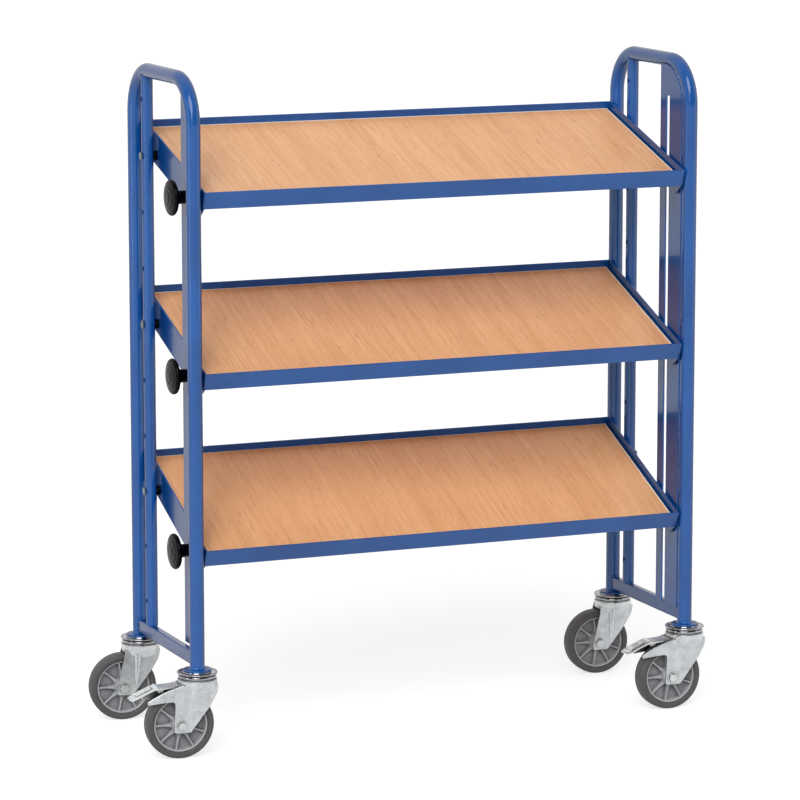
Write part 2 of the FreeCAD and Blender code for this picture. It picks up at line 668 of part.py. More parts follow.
def fork(corner, braked):
    """Pressed fork: round crown, flat web and two tapered legs; a braked one has horns over the tyre."""
    body = newBody(f"{corner}_fork")
    crown = sketchOn(body, "XY_Plane", webTop)
    circle(crown, "0", "0", "crownDia / 2")
    pad(body, crown, "crownHeight")
    web = sketchOn(body, "XY_Plane", webBottom)
    polygon(web, [
        ("-legBack", f"-{legOut}"),
        ("crownDia / 2", f"-{legOut}"),
        ("crownDia / 2", legOut),
        ("-legBack", legOut),
    ])
    pad(body, web, "forkThick")
    footTop = f"{wheelZ} - legBelow + legCorner"
    outline = [
        ("crownDia / 2", webTop),
        ("crownDia / 2", f"{webBottom} - legCorner"),
        ("-casterTrail + legFoot", f"{wheelZ} - legBelow"),
        ("-casterTrail - legFoot + legCorner", f"{wheelZ} - legBelow"),
        ("-casterTrail - legFoot", footTop),
    ]
    if braked:
        outline += [
            ("-hornRootBack", f"{webBottom} - hornRootDrop - legCorner"),
            ("-hornRootBack - legCorner", f"{webBottom} - hornRootDrop"),
            ("-hornReach", f"{webBottom} - hornTipDrop - hornTipDepth / 2"),
            ("-hornReach", f"{webBottom} - hornTipDrop + hornTipDepth / 2"),
            ("-hornShoulderBack", f"{webBottom} - hornShoulderDrop"),
        ]
    outline += [("-legBack", webTop)]
    for start in ("forkInside / 2", f"-{legOut}"):
        leg = sketchOn(body, "XZ_Plane", start)
        polygon(leg, outline)
        pad(body, leg, "forkThick")
    if braked:
        pin = sketchOn(body, "XZ_Plane")
        circle(pin, "-pedalPivotBack", pedalPivotHeight, "pedalPinDia / 2")
        pad(body, pin, f"2 * {legOut}", middle=True)
    swivel = sketchOn(body, "XY_Plane")
    circle(swivel, "0", "0", "kingpinDia / 2 + pivotFit")
    cutThrough(body, swivel)
    axleHole = sketchOn(body, "XZ_Plane")
    circle(axleHole, "-casterTrail", wheelZ, "axleDia / 2")
    cutThrough(body, axleHole)
    onCaster(body, corner)


def pedal(corner):
    """Brake pedal between the horns, hinged on the pin near the crown, with its shoe over the tyre."""
    body = newBody(f"{corner}_brake_pedal")
    profile = sketchOn(body, "XZ_Plane")
    top = [
        ("-pedalPivotBack", f"{pedalPivotHeight} + pedalThick"),
        ("-pedalCrestBack", pedalCrest),
        ("-pedalReach", f"{webBottom} - pedalTipDrop"),
    ]
    under = [(x, f"{z} - pedalThick") for x, z in reversed(top)]
    shoe = [
        ("-shoeBack - shoeLength", pedalUnder),
        ("-shoeBack - shoeLength", shoeBottom),
        ("-shoeBack", shoeBottom),
        ("-shoeBack", pedalUnder),
    ]
    polygon(profile, top + under)
    pad(body, profile, "pedalWidth", middle=True)
    block = sketchOn(body, "XZ_Plane")
    polygon(block, shoe)
    pad(body, block, "tyreWidth", middle=True)
    eye = sketchOn(body, "XZ_Plane")
    circle(eye, "-pedalPivotBack", pedalPivotHeight, "pedalPinDia / 2 + pedalThick")
    pad(body, eye, "pedalWidth", middle=True)
    bore = sketchOn(body, "XZ_Plane")
    circle(bore, "-pedalPivotBack", pedalPivotHeight, "pedalPinDia / 2 + pivotFit")
    cutThrough(body, bore)
    onCaster(body, corner)


def rim(corner):
    """Moulded wheel body: hub, web, rim ring and thin ribs on both faces."""
    body = newBody(f"{corner}_rim")
    profile = sketchOn(body, "XY_Plane")
    boreR = "(axleDia / 2 + axleFit)"
    ringInner = f"({rimDia} / 2 - rimWall)"
    half = [
        (boreR, "hubWidth / 2"),
        ("hubDia / 2", "hubWidth / 2"),
        ("hubDia / 2", "webThick / 2"),
        (ringInner, "webThick / 2"),
        (ringInner, "rimWidth / 2"),
        (f"{rimDia} / 2", "rimWidth / 2"),
    ]
    otherHalf = [(radius, f"-{reach}") for radius, reach in reversed(half)]
    polygon(profile, half + otherHalf)
    revolve(body, profile)
    rib = sketchOn(body, "XZ_Plane")
    ribStart = "(hubDia / 2 - rimWall / 2)"
    ribEnd = f"({ringInner} + rimWall / 2)"
    polygon(rib, [
        (ribStart, "-spokeThick / 2"),
        (ribEnd, "-spokeThick / 2"),
        (ribEnd, "spokeThick / 2"),
        (ribStart, "spokeThick / 2"),
    ])
    first = pad(body, rib, "spokeWidth", middle=True)
    ring = body.newObject("PartDesign::PolarPattern", f"{corner}_rim_ribs")
    ring.Originals = [first]
    ring.Axis = (originItem(body, "Y_Axis"), [""])
    ring.Angle = 360
    ring.setExpression("Occurrences", bound("spokeCount"))
    body.Tip = ring
    onAxle(body, corner)


def tyre(corner):
    """Solid tyre on the rim with rounded shoulders."""
    body = newBody(f"{corner}_tyre")
    profile = sketchOn(body, "XY_Plane")
    polygon(profile, [
        (f"{rimDia} / 2", "-tyreWidth / 2"),
        (f"{wheelDia} / 2", "-tyreWidth / 2"),
        (f"{wheelDia} / 2", "tyreWidth / 2"),
        (f"{rimDia} / 2", "tyreWidth / 2"),
    ])
    ring = revolve(body, profile)
    doc.recompute()
    outerR = value(f"{wheelDia} / 2")
    shoulders = [
        f"Edge{number}" for number, edge in enumerate(ring.Shape.Edges, 1)
        if isinstance(edge.Curve, Part.Circle) and abs(edge.Curve.Radius - outerR) < tolerance
    ]
    rounding = body.newObject("PartDesign::Fillet", f"{corner}_tyre_shoulders")
    rounding.Base = (ring, shoulders)
    rounding.setExpression("Radius", bound("tyreRound"))
    onAxle(body, corner)


def axle(corner):
    """Axle bolt through both fork legs, with its head and nut."""
    end = f"({legOut} + axleHeadThick)"
    shank = cylinder("axleDia / 2", f"2 * {end}", y=end, axis="-Y")
    head = hexagon("axleHeadFlat", "axleHeadThick", y=end, axis="-Y")
    nut = hexagon("axleHeadFlat", "axleHeadThick", y=f"-{legOut}", axis="-Y")
    bolt = fuse(shank, head, nut)
    keep(onAxle(bolt, corner), f"{corner}_axle")


# The whole cart

for side, sign in ends.items():
    hoop(side, sign)
    crossbar(side, sign)
    rail(side, sign)
    slottedPlate(side, sign)
postFlanges()
for tray in trays:
    trayAngle(tray, "front", trayFront, "1")
    trayAngle(tray, "rear", trayBehind, "-1")
    for side, sign in ends.items():
        sidePlate(tray, side, sign)
    board(tray)
    clamps(tray)
pivots()
casterHeads()
for corner in corners:
    braked = corner.startswith("front")
    fork(corner, braked)
    axle(corner)
    rim(corner)
    tyre(corner)
    if braked:
        pedal(corner)

doc.recompute()
for item in doc.Objects:
    if "Invalid" in item.State or "Error" in item.State:
        raise RuntimeError(f"{item.Label} failed: {item.State}")
for part in parts:
    if part.Shape.isNull() or not part.Shape.isValid():
        raise RuntimeError(f"{part.Label} has no valid shape")

os.makedirs("parts", exist_ok=True)
for part in parts:
    part.Shape.exportStep(f"parts/{part.Label}.step")
    print(part.Label, len(part.Shape.Solids), round(part.Shape.Volume))
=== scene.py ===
import json
import math

import bmesh
import bpy
from mathutils import Matrix, Vector, noise


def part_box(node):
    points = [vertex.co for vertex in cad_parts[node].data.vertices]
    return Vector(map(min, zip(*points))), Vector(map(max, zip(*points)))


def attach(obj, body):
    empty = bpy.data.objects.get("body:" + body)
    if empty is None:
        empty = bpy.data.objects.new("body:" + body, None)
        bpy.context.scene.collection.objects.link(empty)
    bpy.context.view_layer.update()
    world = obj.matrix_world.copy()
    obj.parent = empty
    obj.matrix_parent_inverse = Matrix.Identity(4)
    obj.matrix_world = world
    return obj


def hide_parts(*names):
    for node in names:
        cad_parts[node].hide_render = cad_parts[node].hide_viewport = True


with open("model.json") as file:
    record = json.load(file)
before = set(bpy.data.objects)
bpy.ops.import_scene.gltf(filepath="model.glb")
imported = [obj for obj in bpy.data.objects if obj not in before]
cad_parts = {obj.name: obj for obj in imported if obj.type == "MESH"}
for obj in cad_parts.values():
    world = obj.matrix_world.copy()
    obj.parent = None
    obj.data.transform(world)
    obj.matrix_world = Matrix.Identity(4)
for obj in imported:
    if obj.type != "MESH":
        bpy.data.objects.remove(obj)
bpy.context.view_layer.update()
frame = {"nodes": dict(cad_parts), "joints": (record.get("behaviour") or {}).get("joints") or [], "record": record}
nodes = frame["nodes"]
joints = {joint["name"]: joint for joint in frame["joints"]}
slotOf = {part["node"]: part["material_slot"] for part in frame["record"]["subparts"]}
print("frame loaded,", len(nodes), "CAD nodes")

# node helpers

def tone(red, green, blue):  # a screen colour, 0 to 255, as the shader wants it
    def linear(level):
        level /= 255
        return level / 12.92 if level <= 0.04045 else ((level + 0.055) / 1.055) ** 2.4
    return (linear(red), linear(green), linear(blue), 1)


def put(tree, kind, inputs=None, **settings):
    node = tree.nodes.new(kind)
    for key, setting in settings.items():
        setattr(node, key, setting)
    for key, given in (inputs or {}).items():
        if isinstance(given, bpy.types.NodeSocket):
            tree.links.new(given, node.inputs[key])
        else:
            node.inputs[key].default_value = given
    return node


def sums(tree, operation, first, second=0.0):
    return put(tree, "ShaderNodeMath", {0: first, 1: second}, operation=operation).outputs[0]


def remap(tree, given, low, high, newLow=0.0, newHigh=1.0):
    return put(tree, "ShaderNodeMapRange", {0: given, 1: low, 2: high, 3: newLow, 4: newHigh}).outputs[0]


def blendTones(tree, mask, first, second):
    return put(tree, "ShaderNodeMix", {0: mask, 6: first, 7: second}, data_type="RGBA").outputs[2]


def stretched(tree, scale):  # object coordinates, scaled separately along X, Y and Z
    place = put(tree, "ShaderNodeTexCoord").outputs["Object"]
    return put(tree, "ShaderNodeMapping", {"Vector": place, "Scale": scale}).outputs[0]


def noiseOn(tree, vector, scale, detail=3.0, roughness=0.5, distortion=0.0):
    texture = put(tree, "ShaderNodeTexNoise", {"Vector": vector, "Scale": scale, "Detail": detail,
                                               "Roughness": roughness, "Distortion": distortion})
    return texture.outputs[0]


def newGroup(name, inlets, outlets):
    tree = bpy.data.node_groups.new(name, "ShaderNodeTree")
    for label, start in inlets.items():
        socket = tree.interface.new_socket(label, in_out="INPUT", socket_type="NodeSocketFloat")
        socket.default_value = start
    for label in outlets:
        tree.interface.new_socket(label, in_out="OUTPUT", socket_type="NodeSocketFloat")
    return tree, put(tree, "NodeGroupInput"), put(tree, "NodeGroupOutput")


def useGroup(tree, group, inputs):
    node = put(tree, "ShaderNodeGroup", node_tree=group)
    for key, given in inputs.items():
        node.inputs[key].default_value = given
    return node


def newMaterial(name):
    material = bpy.data.materials.new(name)
    material.use_nodes = True
    tree = material.node_tree
    shader = tree.nodes["Principled BSDF"]
    return material, tree, shader


# effects that several materials share

# lighter edges: wear, and a painted highlight along edges
def makeEdgeWearAndHighlight():
    tree, inlet, outlet = newGroup("edgeWearAndHighlight", {"Width": 0.001, "Breakup": 90.0, "Strength": 0.5}, ["Mask"])
    rounded = put(tree, "ShaderNodeBevel", {"Radius": inlet.outputs["Width"]}, samples=4)
    flat = put(tree, "ShaderNodeNewGeometry").outputs["Normal"]
    facing = put(tree, "ShaderNodeVectorMath", {0: rounded.outputs[0], 1: flat}, operation="DOT_PRODUCT")
    edge = remap(tree, sums(tree, "SUBTRACT", 1.0, facing.outputs["Value"]), 0.02, 0.2)
    place = put(tree, "ShaderNodeTexCoord").outputs["Object"]
    patches = noiseOn(tree, place, inlet.outputs["Breakup"], 4.0)
    broken = sums(tree, "MULTIPLY", edge, remap(tree, patches, 0.3, 0.7))
    tree.links.new(sums(tree, "MULTIPLY", broken, inlet.outputs["Strength"]), outlet.inputs["Mask"])
    return tree


def makeMottle():
    start = {"Scale": 10.0, "Detail": 4.0, "Low": 0.3, "High": 0.7}
    tree, inlet, outlet = newGroup("mottle", start, ["Mask"])
    place = put(tree, "ShaderNodeTexCoord").outputs["Object"]
    cloud = noiseOn(tree, place, inlet.outputs["Scale"], inlet.outputs["Detail"], 0.6)
    tree.links.new(remap(tree, cloud, inlet.outputs["Low"], inlet.outputs["High"]), outlet.inputs["Mask"])
    return tree


def makeGrit():
    tree, inlet, outlet = newGroup("grit", {"Scale": 900.0, "Coarse": 200.0}, ["Height"])
    place = put(tree, "ShaderNodeTexCoord").outputs["Object"]
    fine = noiseOn(tree, place, inlet.outputs["Scale"], 2.0)
    coarse = noiseOn(tree, place, inlet.outputs["Coarse"], 2.0)
    tree.links.new(sums(tree, "ADD", sums(tree, "MULTIPLY", fine, 0.5), coarse), outlet.inputs["Height"])
    return tree


def makeDust():
    tree, inlet, outlet = newGroup("dust", {"Scale": 30.0, "Strength": 0.3}, ["Mask"])
    normal = put(tree, "ShaderNodeNewGeometry").outputs["Normal"]
    upward = remap(tree, put(tree, "ShaderNodeSeparateXYZ", {0: normal}).outputs[2], 0.2, 1.0)
    place = put(tree, "ShaderNodeTexCoord").outputs["Object"]
    patches = remap(tree, noiseOn(tree, place, inlet.outputs["Scale"], 5.0, 0.65), 0.4, 0.75)
    settled = sums(tree, "MULTIPLY", sums(tree, "MULTIPLY", upward, patches), inlet.outputs["Strength"])
    tree.links.new(settled, outlet.inputs["Mask"])
    return tree


def makeCrevice():  # painted shade, darker where surfaces stand close together
    tree, inlet, outlet = newGroup("crevice", {"Distance": 0.012, "Depth": 0.5}, ["Mask"])
    reach = {"Distance": inlet.outputs["Distance"]}
    unblocked = put(tree, "ShaderNodeAmbientOcclusion", reach, samples=4).outputs["AO"]
    shade = sums(tree, "SUBTRACT", 1.0, remap(tree, unblocked, 0.35, 0.9))
    tree.links.new(sums(tree, "MULTIPLY", shade, inlet.outputs["Depth"]), outlet.inputs["Mask"])
    return tree


edgeWearAndHighlight = makeEdgeWearAndHighlight()
crevice = makeCrevice()
mottle = makeMottle()
grit = makeGrit()
dust = makeDust()


def bumpFrom(tree, shader, height, strength, distance):
    bump = put(tree, "ShaderNodeBump", {"Height": height, "Strength": strength, "Distance": distance})
    tree.links.new(bump.outputs[0], shader.inputs["Normal"])


# finishes

# worn: lighter edges where the enamel thins, and a painted highlight along them
enamel = {
    "colour": tone(18, 90, 168), "deep": tone(11, 79, 152), "worn": tone(84, 132, 200),
    "shade": tone(6, 34, 84), "shading": 0.8, "turnedAway": (0.2, 0.85), "roughness": (0.17, 0.26),
    "shine": 0.28, "coat": 0.22, "coatBending": 1.9, "coatRoughness": 0.04,
    "peelSize": 320.0, "peel": 0.12, "peelDepth": 0.0003, "edgeWidth": 0.0014, "edgeWearAndHighlight": 0.55,
}


def makeBlueEnamel():
    material, tree, shader = newMaterial("blueEnamel")
    cloud = useGroup(tree, mottle, {"Scale": 7.0, "Low": 0.35, "High": 0.65}).outputs[0]
    edgeWearAndHighlightMask = useGroup(tree, edgeWearAndHighlight, {"Width": enamel["edgeWidth"], "Breakup": 60.0,
                                     "Strength": enamel["edgeWearAndHighlight"]}).outputs[0]
    body = blendTones(tree, cloud, enamel["colour"], enamel["deep"])
    # painted shade: the colour darkens where the surface turns away from the view
    facing = put(tree, "ShaderNodeLayerWeight", {"Blend": 0.5}).outputs["Facing"]
    shading = remap(tree, facing, *enamel["turnedAway"], 0.0, enamel["shading"])
    body = blendTones(tree, shading, body, enamel["shade"])
    # lighter edges: thinned enamel and a painted highlight
    tree.links.new(blendTones(tree, edgeWearAndHighlightMask, body, enamel["worn"]), shader.inputs["Base Color"])
    smears = useGroup(tree, mottle, {"Scale": 24.0, "Detail": 6.0}).outputs[0]
    tree.links.new(remap(tree, smears, 0.0, 1.0, *enamel["roughness"]), shader.inputs["Roughness"])
    shader.inputs["Specular IOR Level"].default_value = enamel["shine"]
    shader.inputs["Coat Weight"].default_value = enamel["coat"]
    shader.inputs["Coat IOR"].default_value = enamel["coatBending"]
    shader.inputs["Coat Roughness"].default_value = enamel["coatRoughness"]
    peel = useGroup(tree, grit, {"Scale": enamel["peelSize"] * 2.5, "Coarse": enamel["peelSize"]}).outputs[0]
    bumpFrom(tree, shader, peel, enamel["peel"], enamel["peelDepth"])
    return material


beech = {
    "pale": tone(240, 182, 130), "mid": tone(231, 168, 116), "dark": tone(207, 141, 92),
    "fleck": tone(184, 118, 74), "edge": tone(255, 244, 226), "edgeHighlightStrength": 0.85,
    "roughness": (0.4, 0.55), "coat": 0.12, "coatRoughness": 0.25,
    "bump": 0.25, "fibres": (330.0, 7.0, 7.0), "bands": (34.0, 1.5, 1.5),
    "flecks": (420.0, 34.0, 34.0),  # the grain runs from front to back
    "endBand": (0.4958, 0.4966), "frontBand": (0.008, 0.012), "rearBand": (0.970, 0.976),  # painted highlight along the board's edges
}


def makeBeech():
    material, tree, shader = newMaterial("beechBoard")
    bands = noiseOn(tree, stretched(tree, beech["bands"]), 1.0, 4.0, 0.55, 0.8)
    fibres = noiseOn(tree, stretched(tree, beech["fibres"]), 1.0, 3.0, 0.6, 0.2)
    flecks = noiseOn(tree, stretched(tree, beech["flecks"]), 1.0, 2.0)
    body = blendTones(tree, remap(tree, bands, 0.35, 0.7), beech["pale"], beech["mid"])
    body = blendTones(tree, remap(tree, fibres, 0.42, 0.7, 0.0, 0.5), body, beech["dark"])
    body = blendTones(tree, remap(tree, flecks, 0.6, 0.72, 0.0, 0.5), body, beech["fleck"])
    # painted highlight: a pale band along the board's top edges
    generated = put(tree, "ShaderNodeTexCoord").outputs["Generated"]
    along, deep, _ = put(tree, "ShaderNodeSeparateXYZ", {0: generated}).outputs
    ends = remap(tree, sums(tree, "ABSOLUTE", sums(tree, "SUBTRACT", along, 0.5), 0.0), *beech["endBand"])
    front = sums(tree, "SUBTRACT", 1.0, remap(tree, deep, *beech["frontBand"]))
    rear = remap(tree, deep, *beech["rearBand"])
    edge = sums(tree, "MAXIMUM", ends, sums(tree, "MAXIMUM", front, rear))
    edge = sums(tree, "MULTIPLY", edge, beech["edgeHighlightStrength"])
    tree.links.new(blendTones(tree, edge, body, beech["edge"]), shader.inputs["Base Color"])
    tree.links.new(remap(tree, fibres, 0.3, 0.7, *beech["roughness"]), shader.inputs["Roughness"])
    shader.inputs["Coat Weight"].default_value = beech["coat"]
    shader.inputs["Coat Roughness"].default_value = beech["coatRoughness"]
    grain = sums(tree, "ADD", fibres, sums(tree, "MULTIPLY", flecks, 0.6))
    bumpFrom(tree, shader, grain, beech["bump"], 0.0002)
    return material


# the dark corner tone in this table is painted shade
zinc = {"worn": tone(246, 247, 247), "paintedCornerShade": tone(64, 66, 68), "crevice": 0.010,
        "spangle": {"Scale": 60.0, "Detail": 6.0, "Low": 0.34, "High": 0.74},
        "smears": {"Scale": 240.0, "Detail": 6.0, "Low": 0.3, "High": 0.75}}
zincKinds = {  # light and dull tone, roughness, bump, and depth of the painted shade in corners
    "zincSheet": (tone(208, 211, 212), tone(177, 181, 183), (0.24, 0.46), 0.3, 0.75),
    "zincFastener": (tone(128, 136, 146), tone(104, 112, 122), (0.3, 0.45), 0.2, 0.75),
    "brightRing": (tone(168, 168, 170), tone(142, 142, 146), (0.07, 0.16), 0.06, 0.97),
    "pressedZinc": (tone(226, 229, 229), tone(204, 207, 208), (0.27, 0.4), 0.1, 0.95),
    "axleZinc": (tone(214, 217, 217), tone(186, 189, 190), (0.25, 0.4), 0.2, 0.9),
}


def makeZinc(name):
    light, dull, roughness, bump, paintedCornerShade = zincKinds[name]
    material, tree, shader = newMaterial(name)
    spangle = useGroup(tree, mottle, zinc["spangle"]).outputs[0]
    smears = useGroup(tree, mottle, zinc["smears"]).outputs[0]
    edgeWearAndHighlightMask = useGroup(tree, edgeWearAndHighlight, {"Width": 0.0011, "Breakup": 160.0, "Strength": 0.9}).outputs[0]
    # painted shade in corners, from ambient occlusion
    dark = useGroup(tree, crevice, {"Distance": zinc["crevice"], "Depth": paintedCornerShade}).outputs[0]
    body = blendTones(tree, spangle, light, dull)
    # near-white edges: wear and a painted highlight
    body = blendTones(tree, edgeWearAndHighlightMask, body, zinc["worn"])
    tree.links.new(blendTones(tree, dark, body, zinc["paintedCornerShade"]), shader.inputs["Base Color"])
    shader.inputs["Metallic"].default_value = 1.0
    tree.links.new(remap(tree, smears, 0.0, 1.0, *roughness), shader.inputs["Roughness"])
    height = useGroup(tree, grit, {"Scale": 1400.0, "Coarse": 160.0}).outputs[0]
    bumpFrom(tree, shader, height, bump, 0.0003)
    return material


knobFinish = {"colour": tone(3, 3, 4), "scuffed": tone(11, 11, 13), "roughness": (0.16, 0.3), "shine": 0.02,
              "coat": 0.14, "coatRoughness": 0.08, "bump": 0.15}


def makeBlackKnob():
    material, tree, shader = newMaterial("blackKnob")
    scuffs = useGroup(tree, mottle, {"Scale": 130.0, "Detail": 8.0, "Low": 0.5, "High": 0.8}).outputs[0]
    edgeWearAndHighlightMask = useGroup(tree, edgeWearAndHighlight, {"Width": 0.001, "Breakup": 220.0, "Strength": 0.4}).outputs[0]
    shade = sums(tree, "MAXIMUM", sums(tree, "MULTIPLY", scuffs, 0.4), edgeWearAndHighlightMask)
    body = blendTones(tree, shade, knobFinish["colour"], knobFinish["scuffed"])
    tree.links.new(body, shader.inputs["Base Color"])
    tree.links.new(remap(tree, scuffs, 0.0, 1.0, *knobFinish["roughness"]), shader.inputs["Roughness"])
    shader.inputs["Specular IOR Level"].default_value = knobFinish["shine"]
    shader.inputs["Coat Weight"].default_value = knobFinish["coat"]
    shader.inputs["Coat Roughness"].default_value = knobFinish["coatRoughness"]
    height = useGroup(tree, grit, {"Scale": 900.0, "Coarse": 260.0}).outputs[0]
    bumpFrom(tree, shader, height, knobFinish["bump"], 0.0002)
    return material


# web and webDeep are the rim grey with painted shade, for the recessed web
rimFinish = {"rib": tone(182, 183, 185), "ribDeep": tone(166, 168, 171), "web": tone(146, 147, 150),
             "webDeep": tone(130, 131, 134), "edge": tone(228, 229, 230), "shade": tone(52, 52, 54),
             "roughness": (0.42, 0.58), "bump": 0.2}


def makeGreyPlastic(name, colour, deep):
    material, tree, shader = newMaterial(name)
    cloud = useGroup(tree, mottle, {"Scale": 60.0, "Detail": 5.0}).outputs[0]
    edgeWearAndHighlightMask = useGroup(tree, edgeWearAndHighlight, {"Width": 0.0012, "Breakup": 120.0, "Strength": 0.8}).outputs[0]
    # painted shade in corners, from ambient occlusion
    dark = useGroup(tree, crevice, {"Distance": 0.008, "Depth": 0.7}).outputs[0]
    body = blendTones(tree, cloud, colour, deep)
    body = blendTones(tree, edgeWearAndHighlightMask, body, rimFinish["edge"])
    tree.links.new(blendTones(tree, dark, body, rimFinish["shade"]), shader.inputs["Base Color"])
    tree.links.new(remap(tree, cloud, 0.0, 1.0, *rimFinish["roughness"]), shader.inputs["Roughness"])
    height = useGroup(tree, grit, {"Scale": 1600.0, "Coarse": 420.0}).outputs[0]
    bumpFrom(tree, shader, height, rimFinish["bump"], 0.0002)
    return material


tyreFinish = {"colour": tone(74, 72, 74), "worn": tone(100, 97, 97), "dust": tone(128, 124, 120),
              "roughness": (0.55, 0.75), "bump": 0.35}


def makeTyreRubber():
    material, tree, shader = newMaterial("tyreRubber")
    scuffs = useGroup(tree, mottle, {"Scale": 55.0, "Detail": 7.0, "Low": 0.4, "High": 0.75}).outputs[0]
    settled = useGroup(tree, dust, {"Scale": 80.0, "Strength": 0.3}).outputs[0]
    body = blendTones(tree, sums(tree, "MULTIPLY", scuffs, 0.5), tyreFinish["colour"], tyreFinish["worn"])
    tree.links.new(blendTones(tree, settled, body, tyreFinish["dust"]), shader.inputs["Base Color"])
    tree.links.new(remap(tree, scuffs, 0.0, 1.0, *tyreFinish["roughness"]), shader.inputs["Roughness"])
    height = useGroup(tree, grit, {"Scale": 1800.0, "Coarse": 350.0}).outputs[0]
    bumpFrom(tree, shader, height, tyreFinish["bump"], 0.0003)
    return material


finishes = {
    "blue_enamel": makeBlueEnamel(),
    "beech_board": makeBeech(),
    "zinc_caster": makeZinc("zincSheet"),
    "zinc_fastener": makeZinc("zincFastener"),
    "black_knob": makeBlackKnob(),
    "black_plastic": makeBlackKnob(),
    "grey_plastic": makeGreyPlastic("greyPlastic", rimFinish["rib"], rimFinish["ribDeep"]),
    "grey_tyre": makeTyreRubber(),
}
chrome = makeZinc("brightRing")
pressedZinc = makeZinc("pressedZinc")
axleZinc = makeZinc("axleZinc")
# rim grey with painted shade, for the recessed web
shadedWebPlastic = makeGreyPlastic("shadedWebPlastic", rimFinish["web"], rimFinish["webDeep"])
print("finishes made")


# mesh helpers

def smooth(obj, angle=38):
    for face in obj.data.polygons:
        face.use_smooth = True
    obj.data.set_sharp_from_angle(angle=math.radians(angle))


def newPiece(name, build, finish, angle=38):
    mesh = bpy.data.meshes.new(name)
    obj = bpy.data.objects.new(name, mesh)
    bpy.context.scene.collection.objects.link(obj)
    build.normal_update()
    build.to_mesh(mesh)
    build.free()
    mesh.materials.append(finish)
    smooth(obj, angle)
    return obj


def bevelEdges(obj, width, segments=2, angle=40):
    bevel = obj.modifiers.new("softEdges", "BEVEL")
    bevel.width = width
    bevel.segments = segments
    bevel.limit_method = "ANGLE"
    bevel.angle_limit = math.radians(angle)
    bevel.harden_normals = True


def fullTurn(steps):  # even angles round a circle
    return [2 * math.pi * step / steps for step in range(steps)]


def wrapLoops(build, loops):  # skin from each loop to the next, and from the last to the first
    count = len(loops[0])
    for loop, nextLoop in zip(loops, loops[1:] + loops[:1]):
        for index in range(count):
            after = (index + 1) % count
            build.faces.new((loop[index], nextLoop[index], nextLoop[after], loop[after]))


def joinRings(build, rings):  # skin along a row of rings, capped at both ends
    count = len(rings[0])
    for ring, nextRing in zip(rings, rings[1:]):
        for index in range(count):
            after = (index + 1) % count
            build.faces.new((ring[index], ring[after], nextRing[after], nextRing[index]))
    build.faces.new(rings[0][::-1])
    build.faces.new(rings[-1])


def addRing(build, profile, steps=64):  # turns (radius, height) points about local Z
    rows = []
    for turn in fullTurn(steps):
        rows.append([build.verts.new((radius * math.cos(turn), radius * math.sin(turn), height))
                     for radius, height in profile])
    wrapLoops(build, rows)
    return rows


def roundedOutline(corners, steps=5):  # corners are (x, z, radius)
    points = []
    count = len(corners)
    for index, (x, z, radius) in enumerate(corners):
        here = Vector((x, z))
        if radius == 0:
            points.append(here)
            continue
        before = Vector(corners[index - 1][:2])
        after = Vector(corners[(index + 1) % count][:2])
        inward = (before - here).normalized()
        outward = (after - here).normalized()
        half = inward.angle(outward) / 2
        reach = min(radius / math.tan(half), (before - here).length * 0.49, (after - here).length * 0.49)
        start = here + inward * reach
        end = here + outward * reach
        for step in range(steps + 1):
            share = step / steps
            points.append(start.lerp(here, share).lerp(here.lerp(end, share), share))
    return points


def addSheet(build, outline, near, far):  # closed plate: outline in local XZ, faces at two Y values
    front = [build.verts.new((point.x, near, point.y)) for point in outline]
    back = [build.verts.new((point.x, far, point.y)) for point in outline]
    build.faces.new(front)
    build.faces.new(back[::-1])
    count = len(outline)
    for index in range(count):
        after = (index + 1) % count
        build.faces.new((front[after], front[index], back[index], back[after]))


def addTube(build, points, radius, around=12, lumps=0.0):  # capped tube along a list of points
    rings = []
    for index, point in enumerate(points):
        ahead = points[min(index + 1, len(points) - 1)] - points[max(index - 1, 0)]
        turn = ahead.to_track_quat("Z", "Y").to_matrix()
        size = radius * (1 + lumps * noise.noise(point * 400))
        offsets = [Vector((size * math.cos(angle), size * math.sin(angle), 0)) for angle in fullTurn(around)]
        rings.append([build.verts.new(point + turn @ offset) for offset in offsets])
    joinRings(build, rings)


def settle(obj, matrix, body, slot, *replaced):  # places a locally drawn piece and hands it to its body
    obj.data.transform(matrix)
    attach(obj, body)
    if replaced:
        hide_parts(*replaced)
    return obj


def alongAxis(place, axis):  # local Z onto an axis, local X as level as can be
    turn = Vector(axis).to_track_quat("Z", "Y").to_matrix().to_4x4()
    return Matrix.Translation(place) @ turn


# CAD pieces that stay: better edges, shading and finish

keptEdges = {"tray": 0.0007, "board": 0.0009, "plate": 0.0005, "crossbar": 0.0004, "rail": 0.0004,
             "bolt": 0.0005, "nut": 0.0006, "washer": 0.0004, "spacer": 0.0006}


def dressNode(name, obj):
    mesh = obj.data
    if "custom_normal" in mesh.attributes:
        mesh.attributes.remove(mesh.attributes["custom_normal"])
    mesh.materials.clear()
    mesh.materials.append(finishes[slotOf[name]])
    for face in mesh.polygons:
        face.use_smooth = True
        face.material_index = 0
    weld = obj.modifiers.new("joinedCorners", "WELD")
    weld.merge_threshold = 0.00002
    widths = [width for word, width in keptEdges.items() if word in name]
    if widths:
        bevelEdges(obj, widths[-1])
    else:
        split = obj.modifiers.new("sharpEdges", "EDGE_SPLIT")
        split.split_angle = math.radians(38)


for name, obj in nodes.items():
    dressNode(name, obj)
print("CAD nodes dressed")


# casters

def casterPlace(corner):  # swivel axis on the floor, local X pointing away from the wheel
    swivel = joints[f"{corner}_swivel_turn"]["pos_m"]
    across = joints[f"{corner}_wheel_spin"]["axis"]
    turn = math.atan2(-across[0], across[1])
    return Matrix.Translation((swivel[0], swivel[1], 0)) @ Matrix.Rotation(turn, 4, "Z")


head = {"neckRadius": 0.0262, "neckTop": 0.157, "plateRadius": 0.0336, "plateTop": 0.1556,
        "plateBottom": 0.1525, "lip": 0.0009, "pinRadius": 0.007, "pinBottom": 0.131,
        "nutRadius": 0.011, "nutTop": 0.136}


